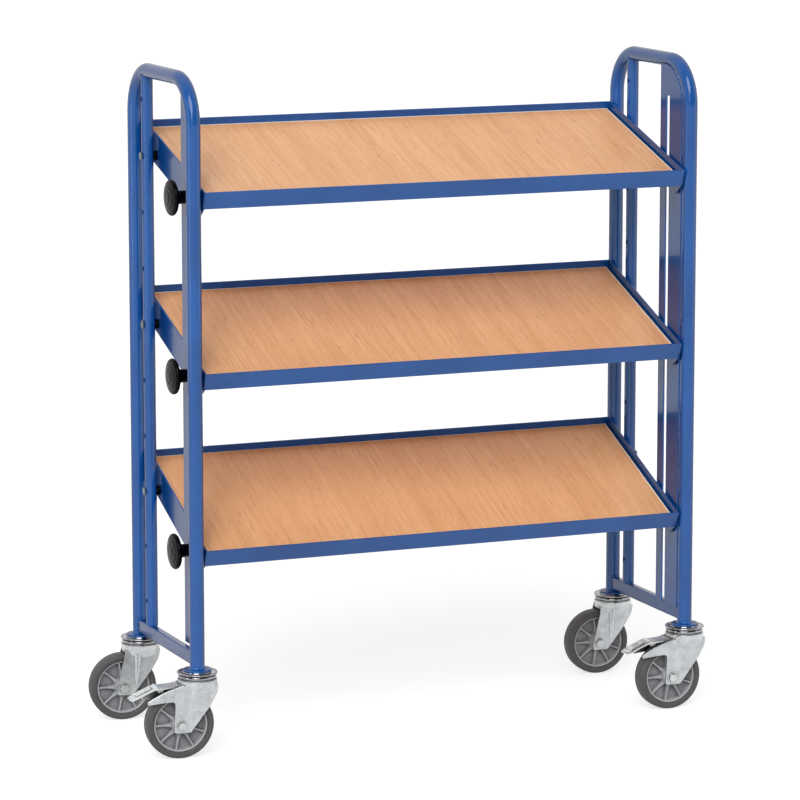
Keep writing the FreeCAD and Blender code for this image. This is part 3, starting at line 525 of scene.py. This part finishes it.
def makeHead(corner):  # fixed race plate with its neck, the swivel pin and the pin's head below
    build = bmesh.new()
    lip = head["lip"]
    addRing(build, [
        (head["pinRadius"], head["plateBottom"]),
        (head["plateRadius"] - lip, head["plateBottom"]),
        (head["plateRadius"], head["plateBottom"] + lip),
        (head["plateRadius"], head["plateTop"] - lip),
        (head["plateRadius"] - lip, head["plateTop"]),
        (head["neckRadius"] + lip, head["plateTop"] + lip / 2),
        (head["neckRadius"], head["plateTop"] + 2 * lip),
        (head["neckRadius"], head["neckTop"]),
        (head["pinRadius"], head["neckTop"]),
    ])
    addRing(build, [(0.0005, head["pinBottom"]), (head["nutRadius"], head["pinBottom"]),
                    (head["nutRadius"], head["nutTop"]), (head["pinRadius"], head["nutTop"]),
                    (head["pinRadius"], head["plateBottom"]), (0.0005, head["plateBottom"])], 32)
    piece = newPiece(f"{corner}_swivel_head", build, chrome)
    replaced = ["caster_heads"] if corner == "front_left" else []
    return settle(piece, casterPlace(corner), "root", "zinc_caster", *replaced)


crown = {"radius": 0.0370, "top": 0.1564, "bottom": 0.1425, "roll": 0.0017, "waist": 0.0326, "belly": 0.0346,
         "skirt": 0.0334, "skirtTop": 0.1449, "bellyMiddle": 0.1484, "bellyHalf": 0.0031,
         "neck": 0.0320, "neckTop": 0.1522, "bore": 0.0306, "ledge": 0.1526}


def makeCrown(corner):  # rolled rim above a groove and the bright bulge that holds the ball race
    build = bmesh.new()
    outer = [(crown["skirt"], crown["bottom"]), (crown["skirt"], crown["skirtTop"])]
    bulge = crown["belly"] - crown["waist"]
    for step in range(11):  # bulging side of the ring
        angle = math.radians(-90 + 18 * step)
        outer.append((crown["waist"] + bulge * math.cos(angle),
                      crown["bellyMiddle"] + crown["bellyHalf"] * math.sin(angle)))
    outer.append((crown["neck"], crown["neckTop"]))
    centre = (crown["radius"] - crown["roll"], crown["top"] - crown["roll"])
    for step in range(11):  # rolled rim
        angle = math.radians(-80 + 23 * step)
        outer.append((centre[0] + crown["roll"] * math.cos(angle),
                      centre[1] + crown["roll"] * math.sin(angle)))
    inner = [(crown["bore"], crown["ledge"]), (crown["bore"], crown["bottom"])]
    addRing(build, outer + inner, 96)
    piece = newPiece(f"{corner}_crown_ring", build, chrome, 50)
    return settle(piece, casterPlace(corner), f"{corner}_swivel", "zinc_caster")


fork = {
    "inside": 0.020, "sheet": 0.003, "bellTop": 0.1432, "bellRadius": 0.0356, "bellFoot": 0.118,
    "bellHeel": 0.1285, "bellLength": 0.0335, "bellSheet": 0.0024, "hornEdge": 0.0021,
}
beads = [  # x, z, half width and height
    (-0.0100, 0.1395, 0.0066, 0.0036), (-0.0098, 0.125, 0.0064, 0.0042), (-0.0100, 0.110, 0.0060, 0.0040),
    (-0.0108, 0.092, 0.0048, 0.0032), (-0.0122, 0.075, 0.0028, 0.0016), (-0.0130, 0.066, 0.0010, 0.0005),
]
footCorners = [(-0.049, 0.0495, 0.005), (-0.0185, 0.0495, 0.005), (0.018, 0.0965, 0.02),
               (0.0305, 0.118, 0.01), (0.034, 0.136, 0.004)]  # x, z and corner radius, as in both legs
plainLeg = [(-0.031, 0.136, 0.003), (-0.0485, 0.060, 0.004), *footCorners]
hornedLeg = [(-0.024, 0.137, 0.004), (-0.044, 0.1315, 0.02), (-0.070, 0.1225, 0.03),
             (-0.0985, 0.1085, 0.0015), (-0.0960, 0.1045, 0.0015), (-0.070, 0.1068, 0.01),
             (-0.0465, 0.1075, 0.007), *footCorners]
hornTop = [(-0.030, 0.1352), (-0.044, 0.1312), (-0.058, 0.1268), (-0.070, 0.1222), (-0.084, 0.1156),
           (-0.0965, 0.1086)]


def addBell(build):  # pressed shoulder from the round crown down to the two flat legs
    rings = 9
    around = 72
    thick = fork["bellSheet"]
    rows = []
    for ring in range(rings):
        share = ring / (rings - 1)
        ease = share * share * (3 - 2 * share)
        power = 2 / (2 + 2.2 * ease)
        row = []
        for angle in fullTurn(around):
            cosine, sine = math.cos(angle), math.sin(angle)
            length = fork["bellRadius"] + (fork["bellLength"] - fork["bellRadius"]) * ease
            width = fork["bellRadius"] + (fork["inside"] + fork["sheet"] - 0.0004 - fork["bellRadius"]) * ease
            x = math.copysign(abs(cosine) ** power, cosine) * length
            y = math.copysign(abs(sine) ** power, sine) * width
            back = min(max((-cosine - 0.25) / 0.45, 0), 1)
            back = back * back * (3 - 2 * back)
            lowest = fork["bellFoot"] + (fork["bellHeel"] - fork["bellFoot"]) * back
            row.append(Vector((x, y, fork["bellTop"] + (lowest - fork["bellTop"]) * share)))
        rows.append(row)
    inner = [[Vector((p.x * (1 - thick / p.xy.length), p.y * (1 - thick / p.xy.length), p.z)) for p in row]
             for row in rows]
    wrapLoops(build, [[build.verts.new(p) for p in row] for row in rows + inner[::-1]])


def addRidge(build, spine, face, side):  # half-round bead on a leg; spine is (x, z, half width, height)
    rows = []
    for x, z, half, height in spine:
        row = [(x - half, face - side * 0.0008)]
        for step in range(11):
            angle = math.radians(18 * step)
            row.append((x - half * math.cos(angle), face + side * height * math.sin(angle)))
        row.append((x + half, face - side * 0.0008))
        rows.append([build.verts.new((across, out, z)) for across, out in row])
    joinRings(build, rows)


def makeFork(corner, braked):  # two legs below a pressed shoulder
    build = bmesh.new()
    outline = roundedOutline(hornedLeg if braked else plainLeg)
    for side in (-1, 1):
        near, far = sorted((side * fork["inside"], side * (fork["inside"] + fork["sheet"])))
        addSheet(build, outline, near, far)
        if not braked:  # stiffening bead pressed down each plain leg
            addRidge(build, beads, side * (fork["inside"] + fork["sheet"]), side)
    addBell(build)
    if braked:  # rolled upper edge of each horn
        for side in (-1, 1):
            edge = [Vector((x, side * (fork["inside"] + 0.0012), z)) for x, z in hornTop]
            addTube(build, edge, fork["hornEdge"], 10)
    bmesh.ops.recalc_face_normals(build, faces=build.faces)
    piece = newPiece(f"{corner}_fork_sheet", build, finishes["zinc_caster"], 42)
    bevelEdges(piece, 0.0006, 2, 50)
    return settle(piece, casterPlace(corner), f"{corner}_swivel", "zinc_caster", f"{corner}_fork")


axle = {"shank": 0.005, "radius": 0.0082, "thick": 0.0050, "washer": 0.0102, "washerThick": 0.0012}


def makeAxle(corner):  # shank, washers, domed hexagon head and nut
    build = bmesh.new()
    outer = fork["inside"] + fork["sheet"]
    addRing(build, [(0.0003, -outer), (axle["shank"], -outer), (axle["shank"], outer), (0.0003, outer)], 24)
    for side in (-1, 1):
        addRing(build, [(0.0003, side * outer), (axle["washer"], side * outer),
                        (axle["washer"], side * (outer + axle["washerThick"])),
                        (0.0003, side * (outer + axle["washerThick"]))][::side], 36)
        start = outer + axle["washerThick"]
        profile = [(0.0003, start), (axle["radius"], start), (axle["radius"], start + axle["thick"] * 0.62),
                   (axle["radius"] * 0.86, start + axle["thick"] * 0.82),
                   (0.0003, start + axle["thick"] * 0.84)]
        addRing(build, [(radius, side * height) for radius, height in profile][::side], 6)
    bmesh.ops.recalc_face_normals(build, faces=build.faces)
    piece = newPiece(f"{corner}_axle_bolt", build, axleZinc, 30)
    bevelEdges(piece, 0.0005, 2, 30)
    spin = joints[f"{corner}_wheel_spin"]
    place = alongAxis(spin["pos_m"], spin["axis"])
    return settle(piece, place, f"{corner}_swivel", "zinc_fastener", f"{corner}_axle")


rim = {"bore": 0.00506, "hub": 0.0150, "hubHalf": 0.0185, "web": 0.003, "inner": 0.0462, "outer": 0.0498,
       "half": 0.0130, "ribs": 9, "ribThin": 0.0010, "ribFlare": 0.0042, "ribHalf": 0.0108}


def makeRim(corner):  # hub, recessed web, rim ring with a raised lip, and ribs that flare into the hub
    build = bmesh.new()
    half = [(rim["bore"], rim["hubHalf"]), (rim["hub"] - 0.001, rim["hubHalf"]),
            (rim["hub"], rim["hubHalf"] - 0.001),
            (rim["hub"] + 0.0004, rim["ribHalf"]), (rim["hub"] + 0.003, rim["web"] + 0.0006),
            (rim["hub"] + 0.006, rim["web"]), (rim["inner"] - 0.0035, rim["web"]),
            (rim["inner"] - 0.0008, rim["web"] + 0.0010), (rim["inner"], rim["web"] + 0.003),
            (rim["inner"] + 0.0002, rim["half"] - 0.0006), (rim["inner"] + 0.0010, rim["half"]),
            (rim["outer"] - 0.0006, rim["half"]), (rim["outer"], rim["half"] - 0.0006)]
    addRing(build, half + [(radius, -height) for radius, height in reversed(half)], 96)
    stretch = rim["inner"] - rim["hub"]
    for rib in range(rim["ribs"]):
        turn = Matrix.Rotation(2 * math.pi * rib / rim["ribs"], 3, "Z")
        edge = []
        for step in range(9):
            share = step / 8
            radius = rim["hub"] - 0.002 + (stretch + 0.0028) * share
            flare = rim["ribThin"] + rim["ribFlare"] * (1 - share) ** 3 + 0.0011 * share ** 6
            edge.append((radius, flare))
        outline = edge + [(radius, -flare) for radius, flare in reversed(edge)]
        top = [build.verts.new(turn @ Vector((x, y, rim["ribHalf"]))) for x, y in outline]
        low = [build.verts.new(turn @ Vector((x, y, -rim["ribHalf"]))) for x, y in outline]
        build.faces.new(top)
        build.faces.new(low[::-1])
        for index in range(len(outline)):
            after = (index + 1) % len(outline)
            build.faces.new((top[after], top[index], low[index], low[after]))
    bmesh.ops.recalc_face_normals(build, faces=build.faces)
    piece = newPiece(f"{corner}_wheel_body", build, finishes["grey_plastic"], 40)
    piece.data.materials.append(shadedWebPlastic)
    for face in piece.data.polygons:  # painted shade: the recessed web gets a darker grey than ribs and rim
        face.material_index = int(abs(face.normal.z) > 0.8 and abs(face.center.z) < rim["web"] + 0.0012)
    bevelEdges(piece, 0.0005, 2, 50)
    spin = joints[f"{corner}_wheel_spin"]
    place = alongAxis(spin["pos_m"], spin["axis"])
    return settle(piece, place, f"{corner}_wheel", "grey_plastic", f"{corner}_rim")


tyre = {"bead": 0.0498, "radius": 0.0625, "half": 0.016, "shoulder": 0.0062, "groove": 0.0006,
        "crownDrop": 0.0003,
        "tread": ((0.0082, 0.0002), (0.0078, 0.0012), (0.0070, 0.0012), (0.0066, 0.0001))}


def makeTyre(corner):  # rounded shoulders and one shallow groove on each side of the tread
    build = bmesh.new()
    side = [(tyre["bead"], 0.0128), (tyre["bead"] + 0.0004, 0.0146),
            (tyre["bead"] + 0.0016, tyre["half"] - 0.0004),
            (tyre["bead"] + 0.0026, tyre["half"] - tyre["groove"]), (tyre["bead"] + 0.0034, tyre["half"])]
    centre = (tyre["radius"] - tyre["crownDrop"] - tyre["shoulder"], tyre["half"] - tyre["shoulder"])
    for step in range(9):
        angle = math.radians(90 - 11.25 * step)
        side.append((centre[0] + tyre["shoulder"] * math.cos(angle),
                     centre[1] + tyre["shoulder"] * math.sin(angle)))
    for across, depth in tyre["tread"]:
        side.append((tyre["radius"] - depth, across))
    middle = [(tyre["radius"], 0.0)]
    addRing(build, side + middle + [(radius, -height) for radius, height in reversed(side)], 128)
    bmesh.ops.recalc_face_normals(build, faces=build.faces)
    piece = newPiece(f"{corner}_tyre_ring", build, finishes["grey_tyre"], 50)
    spin = joints[f"{corner}_wheel_spin"]
    place = alongAxis(spin["pos_m"], spin["axis"])
    return settle(piece, place, f"{corner}_wheel", "grey_tyre", f"{corner}_tyre")


pedal = {"hinge": -0.024, "crest": -0.078, "tip": -0.1275, "noseStart": -0.112, "half": 0.0172,
         "level": 0.1345, "tipLevel": 0.1135, "sheet": 0.0022, "ridge": 0.0014, "ridgeWidth": 0.0016,
         "recess": 0.0010, "recessSpan": (-0.066, -0.040), "recessSide": (0.24, 0.62),
         "panel": 0.0012, "panelSpan": (0.22, 0.74), "panelSide": 0.60,
         "border": 0.0016, "borderSpan": (0.15, 0.81), "borderSide": 0.74,
         "mark": 0.0020, "markSpan": (0.34, 0.60), "markSide": (0.14, 0.32),
         "noseLift": 0.0022, "noseShare": 0.86, "edgeDrop": 0.0012, "edgeSide": 0.8,
         "shoe": ((-0.076, 0.1325, 0), (-0.076, 0.1245, 0.0015),
                  (-0.066, 0.1245, 0.0015), (-0.066, 0.1325, 0)),
         "shoeHalf": 0.014, "eyeRadius": 0.0048, "eyeLevel": 0.130}


def within(given, span):
    return span[0] < given < span[1]


def pedalTop(x, side):  # height of the tread; side runs from -1 to 1 across it
    off = abs(side)
    if x > pedal["crest"]:
        height = pedal["level"] - 0.0006 * math.sin((x - pedal["hinge"]) * 90)
        height -= pedal["recess"] * (within(x, pedal["recessSpan"]) and within(off, pedal["recessSide"]))
    else:
        share = (pedal["crest"] - x) / (pedal["crest"] - pedal["tip"])
        height = pedal["level"] + (pedal["tipLevel"] - pedal["level"]) * share ** 1.15
        inPanel = within(share, pedal["panelSpan"]) and off < pedal["panelSide"]
        inBorder = within(share, pedal["borderSpan"]) and off < pedal["borderSide"] and not inPanel
        height += pedal["panel"] * inPanel - pedal["border"] * inBorder
        height -= pedal["mark"] * (within(share, pedal["markSpan"]) and within(off, pedal["markSide"]))
        height += pedal["noseLift"] * max(0, (share - pedal["noseShare"]) / (1 - pedal["noseShare"])) ** 2
    height += pedal["ridge"] * math.exp(-((x - pedal["crest"]) / pedal["ridgeWidth"]) ** 2)
    return height - pedal["edgeDrop"] * max(0, off - pedal["edgeSide"]) / (1 - pedal["edgeSide"])


def makePedal(corner):  # pressed tread, the shoe below it and the tube that it hinges on
    build = bmesh.new()
    long, across = 140, 46
    rows = []
    for step in range(long + 1):
        x = pedal["hinge"] + (pedal["tip"] - pedal["hinge"]) * step / long
        past = max(0, (pedal["noseStart"] - x) / (pedal["noseStart"] - pedal["tip"]))
        half = pedal["half"] * max(1 - past ** 3.2, 0.12) ** 0.35
        rows.append([Vector((x, half * (2 * index / across - 1), pedalTop(x, 2 * index / across - 1)))
                     for index in range(across + 1)])
    top = [[build.verts.new(point) for point in row] for row in rows]
    low = [[build.verts.new(point - Vector((0, 0, pedal["sheet"]))) for point in row] for row in rows]
    for step in range(long):
        for index in range(across):
            build.faces.new((top[step][index], top[step][index + 1],
                             top[step + 1][index + 1], top[step + 1][index]))
            build.faces.new((low[step][index], low[step + 1][index],
                             low[step + 1][index + 1], low[step][index + 1]))
    border = [(step, 0) for step in range(long)] + [(long, index) for index in range(across)]
    border += [(step, across) for step in range(long, 0, -1)] + [(0, index) for index in range(across, 0, -1)]
    for (step, index), (nextStep, nextIndex) in zip(border, border[1:] + border[:1]):
        build.faces.new((top[step][index], top[nextStep][nextIndex],
                         low[nextStep][nextIndex], low[step][index]))
    addSheet(build, roundedOutline(pedal["shoe"]), -pedal["shoeHalf"], pedal["shoeHalf"])
    eye = [Vector((pedal["hinge"], side * pedal["half"], pedal["eyeLevel"])) for side in (-1, 1)]
    addTube(build, eye, pedal["eyeRadius"], 20)
    bmesh.ops.recalc_face_normals(build, faces=build.faces)
    piece = newPiece(f"{corner}_brake_tread", build, pressedZinc, 35)
    return settle(piece, casterPlace(corner), f"{corner}_pedal", "zinc_caster", f"{corner}_brake_pedal")


for corner in ("front_left", "front_right", "rear_left", "rear_right"):
    braked = corner.startswith("front")
    makeHead(corner)
    makeCrown(corner)
    makeFork(corner, braked)
    makeAxle(corner)
    makeRim(corner)
    makeTyre(corner)
    if braked:
        makePedal(corner)
print("casters built")


# clamp knobs

knob = {"bore": 0.0043, "radius": 0.0325, "edge": 0.0046, "crown": 0.0072,
        "neck": 0.0118, "neckLength": 0.0272}


def makeKnob(name):  # neck, rounded grip and a dished cap
    build = bmesh.new()
    profile = [(knob["bore"], -knob["neckLength"]), (knob["neck"] - 0.0006, -knob["neckLength"]),
               (knob["neck"], -knob["neckLength"] + 0.0006), (knob["neck"] + 0.0006, -knob["crown"])]
    profile += [(knob["neck"] + 0.003, -knob["crown"] * 0.82),
                (knob["radius"] - 0.0085, -knob["crown"] * 0.62)]
    for step in range(9):  # rounded grip edge
        angle = math.radians(-75 + 150 * step / 8)
        profile.append((knob["radius"] - knob["edge"] + knob["edge"] * math.cos(angle),
                        knob["edge"] * math.sin(angle)))
    profile += [(knob["radius"] - 0.0085, knob["crown"] * 0.62), (0.018, knob["crown"] * 0.84),
                (0.0125, knob["crown"] * 0.95), (0.0118, knob["crown"] * 0.90),
                (0.0108, knob["crown"] * 0.96), (0.005, knob["crown"]), (0.0004, knob["crown"])]
    profile += [(0.0004, knob["crown"] - 0.002), (knob["bore"], knob["crown"] - 0.004)]
    addRing(build, profile, 96)
    bmesh.ops.recalc_face_normals(build, faces=build.faces)
    piece = newPiece(f"{name}_grip", build, finishes["black_knob"], 48)
    turning = joints[f"{name}_turn"]
    return settle(piece, alongAxis(turning["pos_m"], turning["axis"]), name, "black_knob", name)


for tray in ("top", "middle", "bottom"):
    for side in ("left", "right"):
        makeKnob(f"{tray}_{side}_knob")
print("knobs built")


# end frames: smooth bent hoops, post feet and welds

hoop = {"radius": 0.0135, "bend": 0.080, "around": 40, "bendSteps": 28}


def hoopLine(x, front, rear, low, top):  # middle line of the tube, up the front, over and down the rear
    points = [Vector((x, front, low)), Vector((x, front, (low + top) / 2))]
    for y, start in ((front + hoop["bend"], math.pi), (rear - hoop["bend"], math.pi / 2)):
        for step in range(hoop["bendSteps"] + 1):
            angle = start - math.pi / 2 * step / hoop["bendSteps"]
            points.append(Vector((x, y + hoop["bend"] * math.cos(angle),
                                  top - hoop["bend"] + hoop["bend"] * math.sin(angle))))
    points += [Vector((x, rear, (low + top) / 2)), Vector((x, rear, low))]
    return points


def makeHoop(side):
    low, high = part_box(f"{side}_hoop")
    x = (low.x + high.x) / 2
    path = hoopLine(x, low.y + hoop["radius"], high.y - hoop["radius"], low.z, high.z - hoop["radius"])
    build = bmesh.new()
    turns = fullTurn(hoop["around"])
    rings = []
    for index, point in enumerate(path):
        ahead = (path[min(index + 1, len(path) - 1)] - path[max(index - 1, 0)]).normalized()
        outward = Vector((1, 0, 0)).cross(ahead)
        across = [Vector((math.cos(angle), 0, 0)) + outward * math.sin(angle) for angle in turns]
        rings.append([build.verts.new(point + hoop["radius"] * offset) for offset in across])
    joinRings(build, rings)
    bmesh.ops.recalc_face_normals(build, faces=build.faces)
    piece = newPiece(f"{side}_bent_tube", build, finishes["blue_enamel"], 50)
    return settle(piece, Matrix.Identity(4), "root", "blue_enamel", f"{side}_hoop")


foot = {"radius": 0.026, "bottom": 0.157, "thick": 0.004, "bore": 0.0061, "post": 0.0135, "weld": 0.0052,
        "edge": 0.0008, "ripple": 0.0005, "fineRipple": 0.00025}


def makeFoot(corner):  # round flange and the fillet weld round the post
    build = bmesh.new()
    top = foot["bottom"] + foot["thick"]
    edge = foot["edge"]
    profile = [(foot["bore"], foot["bottom"]), (foot["radius"] - edge, foot["bottom"]),
               (foot["radius"], foot["bottom"] + edge), (foot["radius"], top - edge),
               (foot["radius"] - edge, top), (foot["post"] + foot["weld"] + 0.0004, top)]
    for step in range(7):
        angle = math.pi / 2 * step / 6
        profile.append((foot["post"] + foot["weld"] * (1 - math.sin(angle)),
                        top + foot["weld"] * (1 - math.cos(angle))))
    profile.append((foot["bore"], top + foot["weld"]))
    rows = addRing(build, profile, 96)
    for row in rows:  # ripples of the weld
        for vertex in row[5:13]:
            heading = math.atan2(vertex.co.y, vertex.co.x)
            ripple = foot["ripple"] * noise.noise(vertex.co * 260)
            ripple += foot["fineRipple"] * math.sin(40 * heading)
            vertex.co.z += max(ripple, -0.0003)
    bmesh.ops.recalc_face_normals(build, faces=build.faces)
    piece = newPiece(f"{corner}_post_foot", build, finishes["blue_enamel"], 60)
    place = casterPlace(corner)
    replaced = ["post_flanges"] if corner == "front_left" else []
    return settle(piece, Matrix.Translation(place.translation), "root", "blue_enamel", *replaced)


def addWeld(build, points, radius):  # lumpy bead along a list of points
    fine = []
    for start, end in zip(points, points[1:]):
        steps = max(2, int((end - start).length / 0.0016))
        fine += [start.lerp(end, step / steps) for step in range(steps)]
    fine.append(points[-1])
    addTube(build, fine, radius, 8, 0.55)


weld = {"bar": 0.0026, "rail": 0.0022, "tack": 0.0016, "tackLength": 0.022, "tackGap": 0.16}


def makeWelds(side, sign):
    build = bmesh.new()
    barLow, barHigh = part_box(f"{side}_crossbar")
    railLow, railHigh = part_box(f"{side}_rail")
    plateLow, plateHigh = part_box(f"{side}_slotted_plate")
    hoopLow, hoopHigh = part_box(f"{side}_hoop")
    middle = (hoopLow.x + hoopHigh.x) / 2
    halfBar = (barHigh.x - barLow.x) / 2
    for y, inward in ((hoopLow.y + hoop["radius"], 1), (hoopHigh.y - hoop["radius"], -1)):
        def seam(x, z):  # where the bar meets the round post
            return Vector((middle + x, y + inward * math.sqrt(hoop["radius"] ** 2 - x ** 2), z))
        for x in (-halfBar, halfBar):
            addWeld(build, [seam(x, barLow.z + 0.002), seam(x, barHigh.z - 0.002)], weld["bar"] * 0.7)
        for z in (barLow.z, barHigh.z):
            across = [seam(halfBar * (step / 4 - 1), z) for step in range(9)]
            addWeld(build, across, weld["bar"])
    railMid = (railLow.y + railHigh.y) / 2
    railRadius = (railHigh.y - railLow.y) / 2
    ringLevel = railLow.z + 0.0006
    ring = [Vector((middle + railRadius * math.cos(angle), railMid + railRadius * math.sin(angle), ringLevel))
            for angle in (2 * math.pi * step / 24 for step in range(25))]
    ring = [point for point in ring if abs(point.x - middle) < halfBar]
    halves = ([p for p in ring if p.y > railMid], [p for p in ring if p.y < railMid])
    for half in halves:
        addWeld(build, half, weld["rail"])
    bendStart = hoopHigh.y - hoop["radius"] - hoop["bend"]
    bendCentre = hoopHigh.z - hoop["radius"] - hoop["bend"]

    def underHoop(x, y):  # underside of the hoop's rear bend
        inner = hoop["bend"] - math.sqrt(hoop["radius"] ** 2 - x ** 2)
        return Vector((middle + x, y, bendCentre + math.sqrt(inner ** 2 - max(0, y - bendStart) ** 2)))
    saddle = [underHoop(railRadius * math.cos(angle), railMid + railRadius * math.sin(angle))
              for angle in (2 * math.pi * step / 32 for step in range(33))]
    addWeld(build, saddle, weld["rail"])
    plateFace = plateLow.x if sign > 0 else plateHigh.x  # inboard face of the slotted plate
    start = plateLow.z + 0.05
    while start < plateHigh.z - 0.15:  # tack welds down the plate and post
        tack = [Vector((plateFace + sign * 0.0008, plateLow.y + 0.0004, start)),
                Vector((plateFace + sign * 0.0008, plateLow.y + 0.0004, start + weld["tackLength"]))]
        addWeld(build, tack, weld["tack"])
        start += weld["tackGap"]
    bmesh.ops.recalc_face_normals(build, faces=build.faces)
    piece = newPiece(f"{side}_frame_welds", build, finishes["blue_enamel"], 60)
    return settle(piece, Matrix.Identity(4), "root", "blue_enamel")


for side, sign in (("left", -1), ("right", 1)):
    makeHoop(side)
    makeWelds(side, sign)
for corner in ("front_left", "front_right", "rear_left", "rear_right"):
    makeFoot(corner)
print("end frames built")


# studio

studio = {"floor": tone(190, 190, 190), "floorGlow": 0.67, "floorSize": 60.0, "world": 0.45,
          "darkSide": 0.85, "darkTowards": (-0.38, -0.92, 0.12), "darkEdge": (-0.1, 0.6),
          "sun": 1.75, "sunSpread": 40.0, "sunFrom": (-0.45, -0.8, 0.8)}
lamps = {  # place, point aimed at, size and power
    "frontBox": ((-2.6, -3.8, 2.2), (0, 0, 0.6), (0.32, 1.9), 18.0),
    "leftStrip": ((-3.0, -0.4, 1.4), (0, 0, 0.7), (0.28, 2.4), 9.0),
    "rightStrip": ((3.0, -1.6, 1.4), (0, 0, 0.7), (0.28, 2.4), 6.0),
}


def seenRays(tree):  # 1 for what is looked at directly, through glass or in a reflection; and gloss alone
    rays = put(tree, "ShaderNodeLightPath")
    seen = sums(tree, "MAXIMUM", rays.outputs["Is Camera Ray"], rays.outputs["Is Glossy Ray"])
    return sums(tree, "MAXIMUM", seen, rays.outputs["Is Transmission Ray"]), rays.outputs["Is Glossy Ray"]


def makeFloor():
    build = bmesh.new()
    bmesh.ops.create_grid(build, x_segments=4, y_segments=4, size=studio["floorSize"] / 2)
    material, tree, shader = newMaterial("paleFloor")
    shader.inputs["Base Color"].default_value = studio["floor"]
    shader.inputs["Roughness"].default_value = 0.9
    shader.inputs["Specular IOR Level"].default_value = 0.1
    seen, _ = seenRays(tree)
    shader.inputs["Emission Color"].default_value = (1, 1, 1, 1)
    tree.links.new(sums(tree, "MULTIPLY", seen, studio["floorGlow"]), shader.inputs["Emission Strength"])
    floor = newPiece("floor", build, material)


def makeWorld():
    world = bpy.data.worlds.new("studioWorld")
    bpy.context.scene.world = world
    world.use_nodes = True
    tree = world.node_tree
    background = tree.nodes["Background"]
    seen, glossy = seenRays(tree)
    background.inputs["Color"].default_value = (1, 1, 1, 1)
    heading = put(tree, "ShaderNodeTexCoord").outputs["Generated"]
    towards = put(tree, "ShaderNodeVectorMath", {0: heading, 1: Vector(studio["darkTowards"]).normalized()},
                  operation="DOT_PRODUCT").outputs["Value"]
    dark = sums(tree, "MULTIPLY", remap(tree, towards, *studio["darkEdge"]), studio["darkSide"])
    dark = sums(tree, "MULTIPLY", dark, glossy)  # only what gloss reflects from behind the camera
    strength = sums(tree, "SUBTRACT", remap(tree, seen, 0.0, 1.0, studio["world"], 1.0), dark)
    tree.links.new(strength, background.inputs["Strength"])


def addLamp(name, place, aim, size, power):
    light = bpy.data.lights.new(name, "AREA")
    light.shape = "RECTANGLE"
    light.size, light.size_y = size
    light.energy = power
    lamp = bpy.data.objects.new(name, light)
    bpy.context.scene.collection.objects.link(lamp)
    lamp.location = place
    lamp.rotation_euler = (Vector(aim) - Vector(place)).to_track_quat("-Z", "Y").to_euler()


def addSun():  # even light over the whole floor
    light = bpy.data.lights.new("softSun", "SUN")
    light.energy = studio["sun"]
    light.angle = math.radians(studio["sunSpread"])
    lamp = bpy.data.objects.new("softSun", light)
    bpy.context.scene.collection.objects.link(lamp)
    lamp.rotation_euler = Vector(studio["sunFrom"]).to_track_quat("Z", "Y").to_euler()


camera = {"azimuth": -22.735, "elevation": 9.545, "lens": 184.63, "place": (-2.8835, -6.9223, 1.8576)}


def addCamera():
    data = bpy.data.cameras.new("camera")
    data.lens = camera["lens"]
    data.clip_end = 200
    obj = bpy.data.objects.new("camera", data)
    bpy.context.scene.collection.objects.link(obj)
    obj.location = camera["place"]
    obj.rotation_euler = (math.radians(90 - camera["elevation"]), 0, math.radians(camera["azimuth"]))
    bpy.context.scene.camera = obj


makeFloor()
makeWorld()
addSun()
for name, (place, aim, size, power) in lamps.items():
    addLamp(name, place, aim, size, power)
addCamera()
bpy.context.scene.view_settings.view_transform = "Standard"
print("studio set")
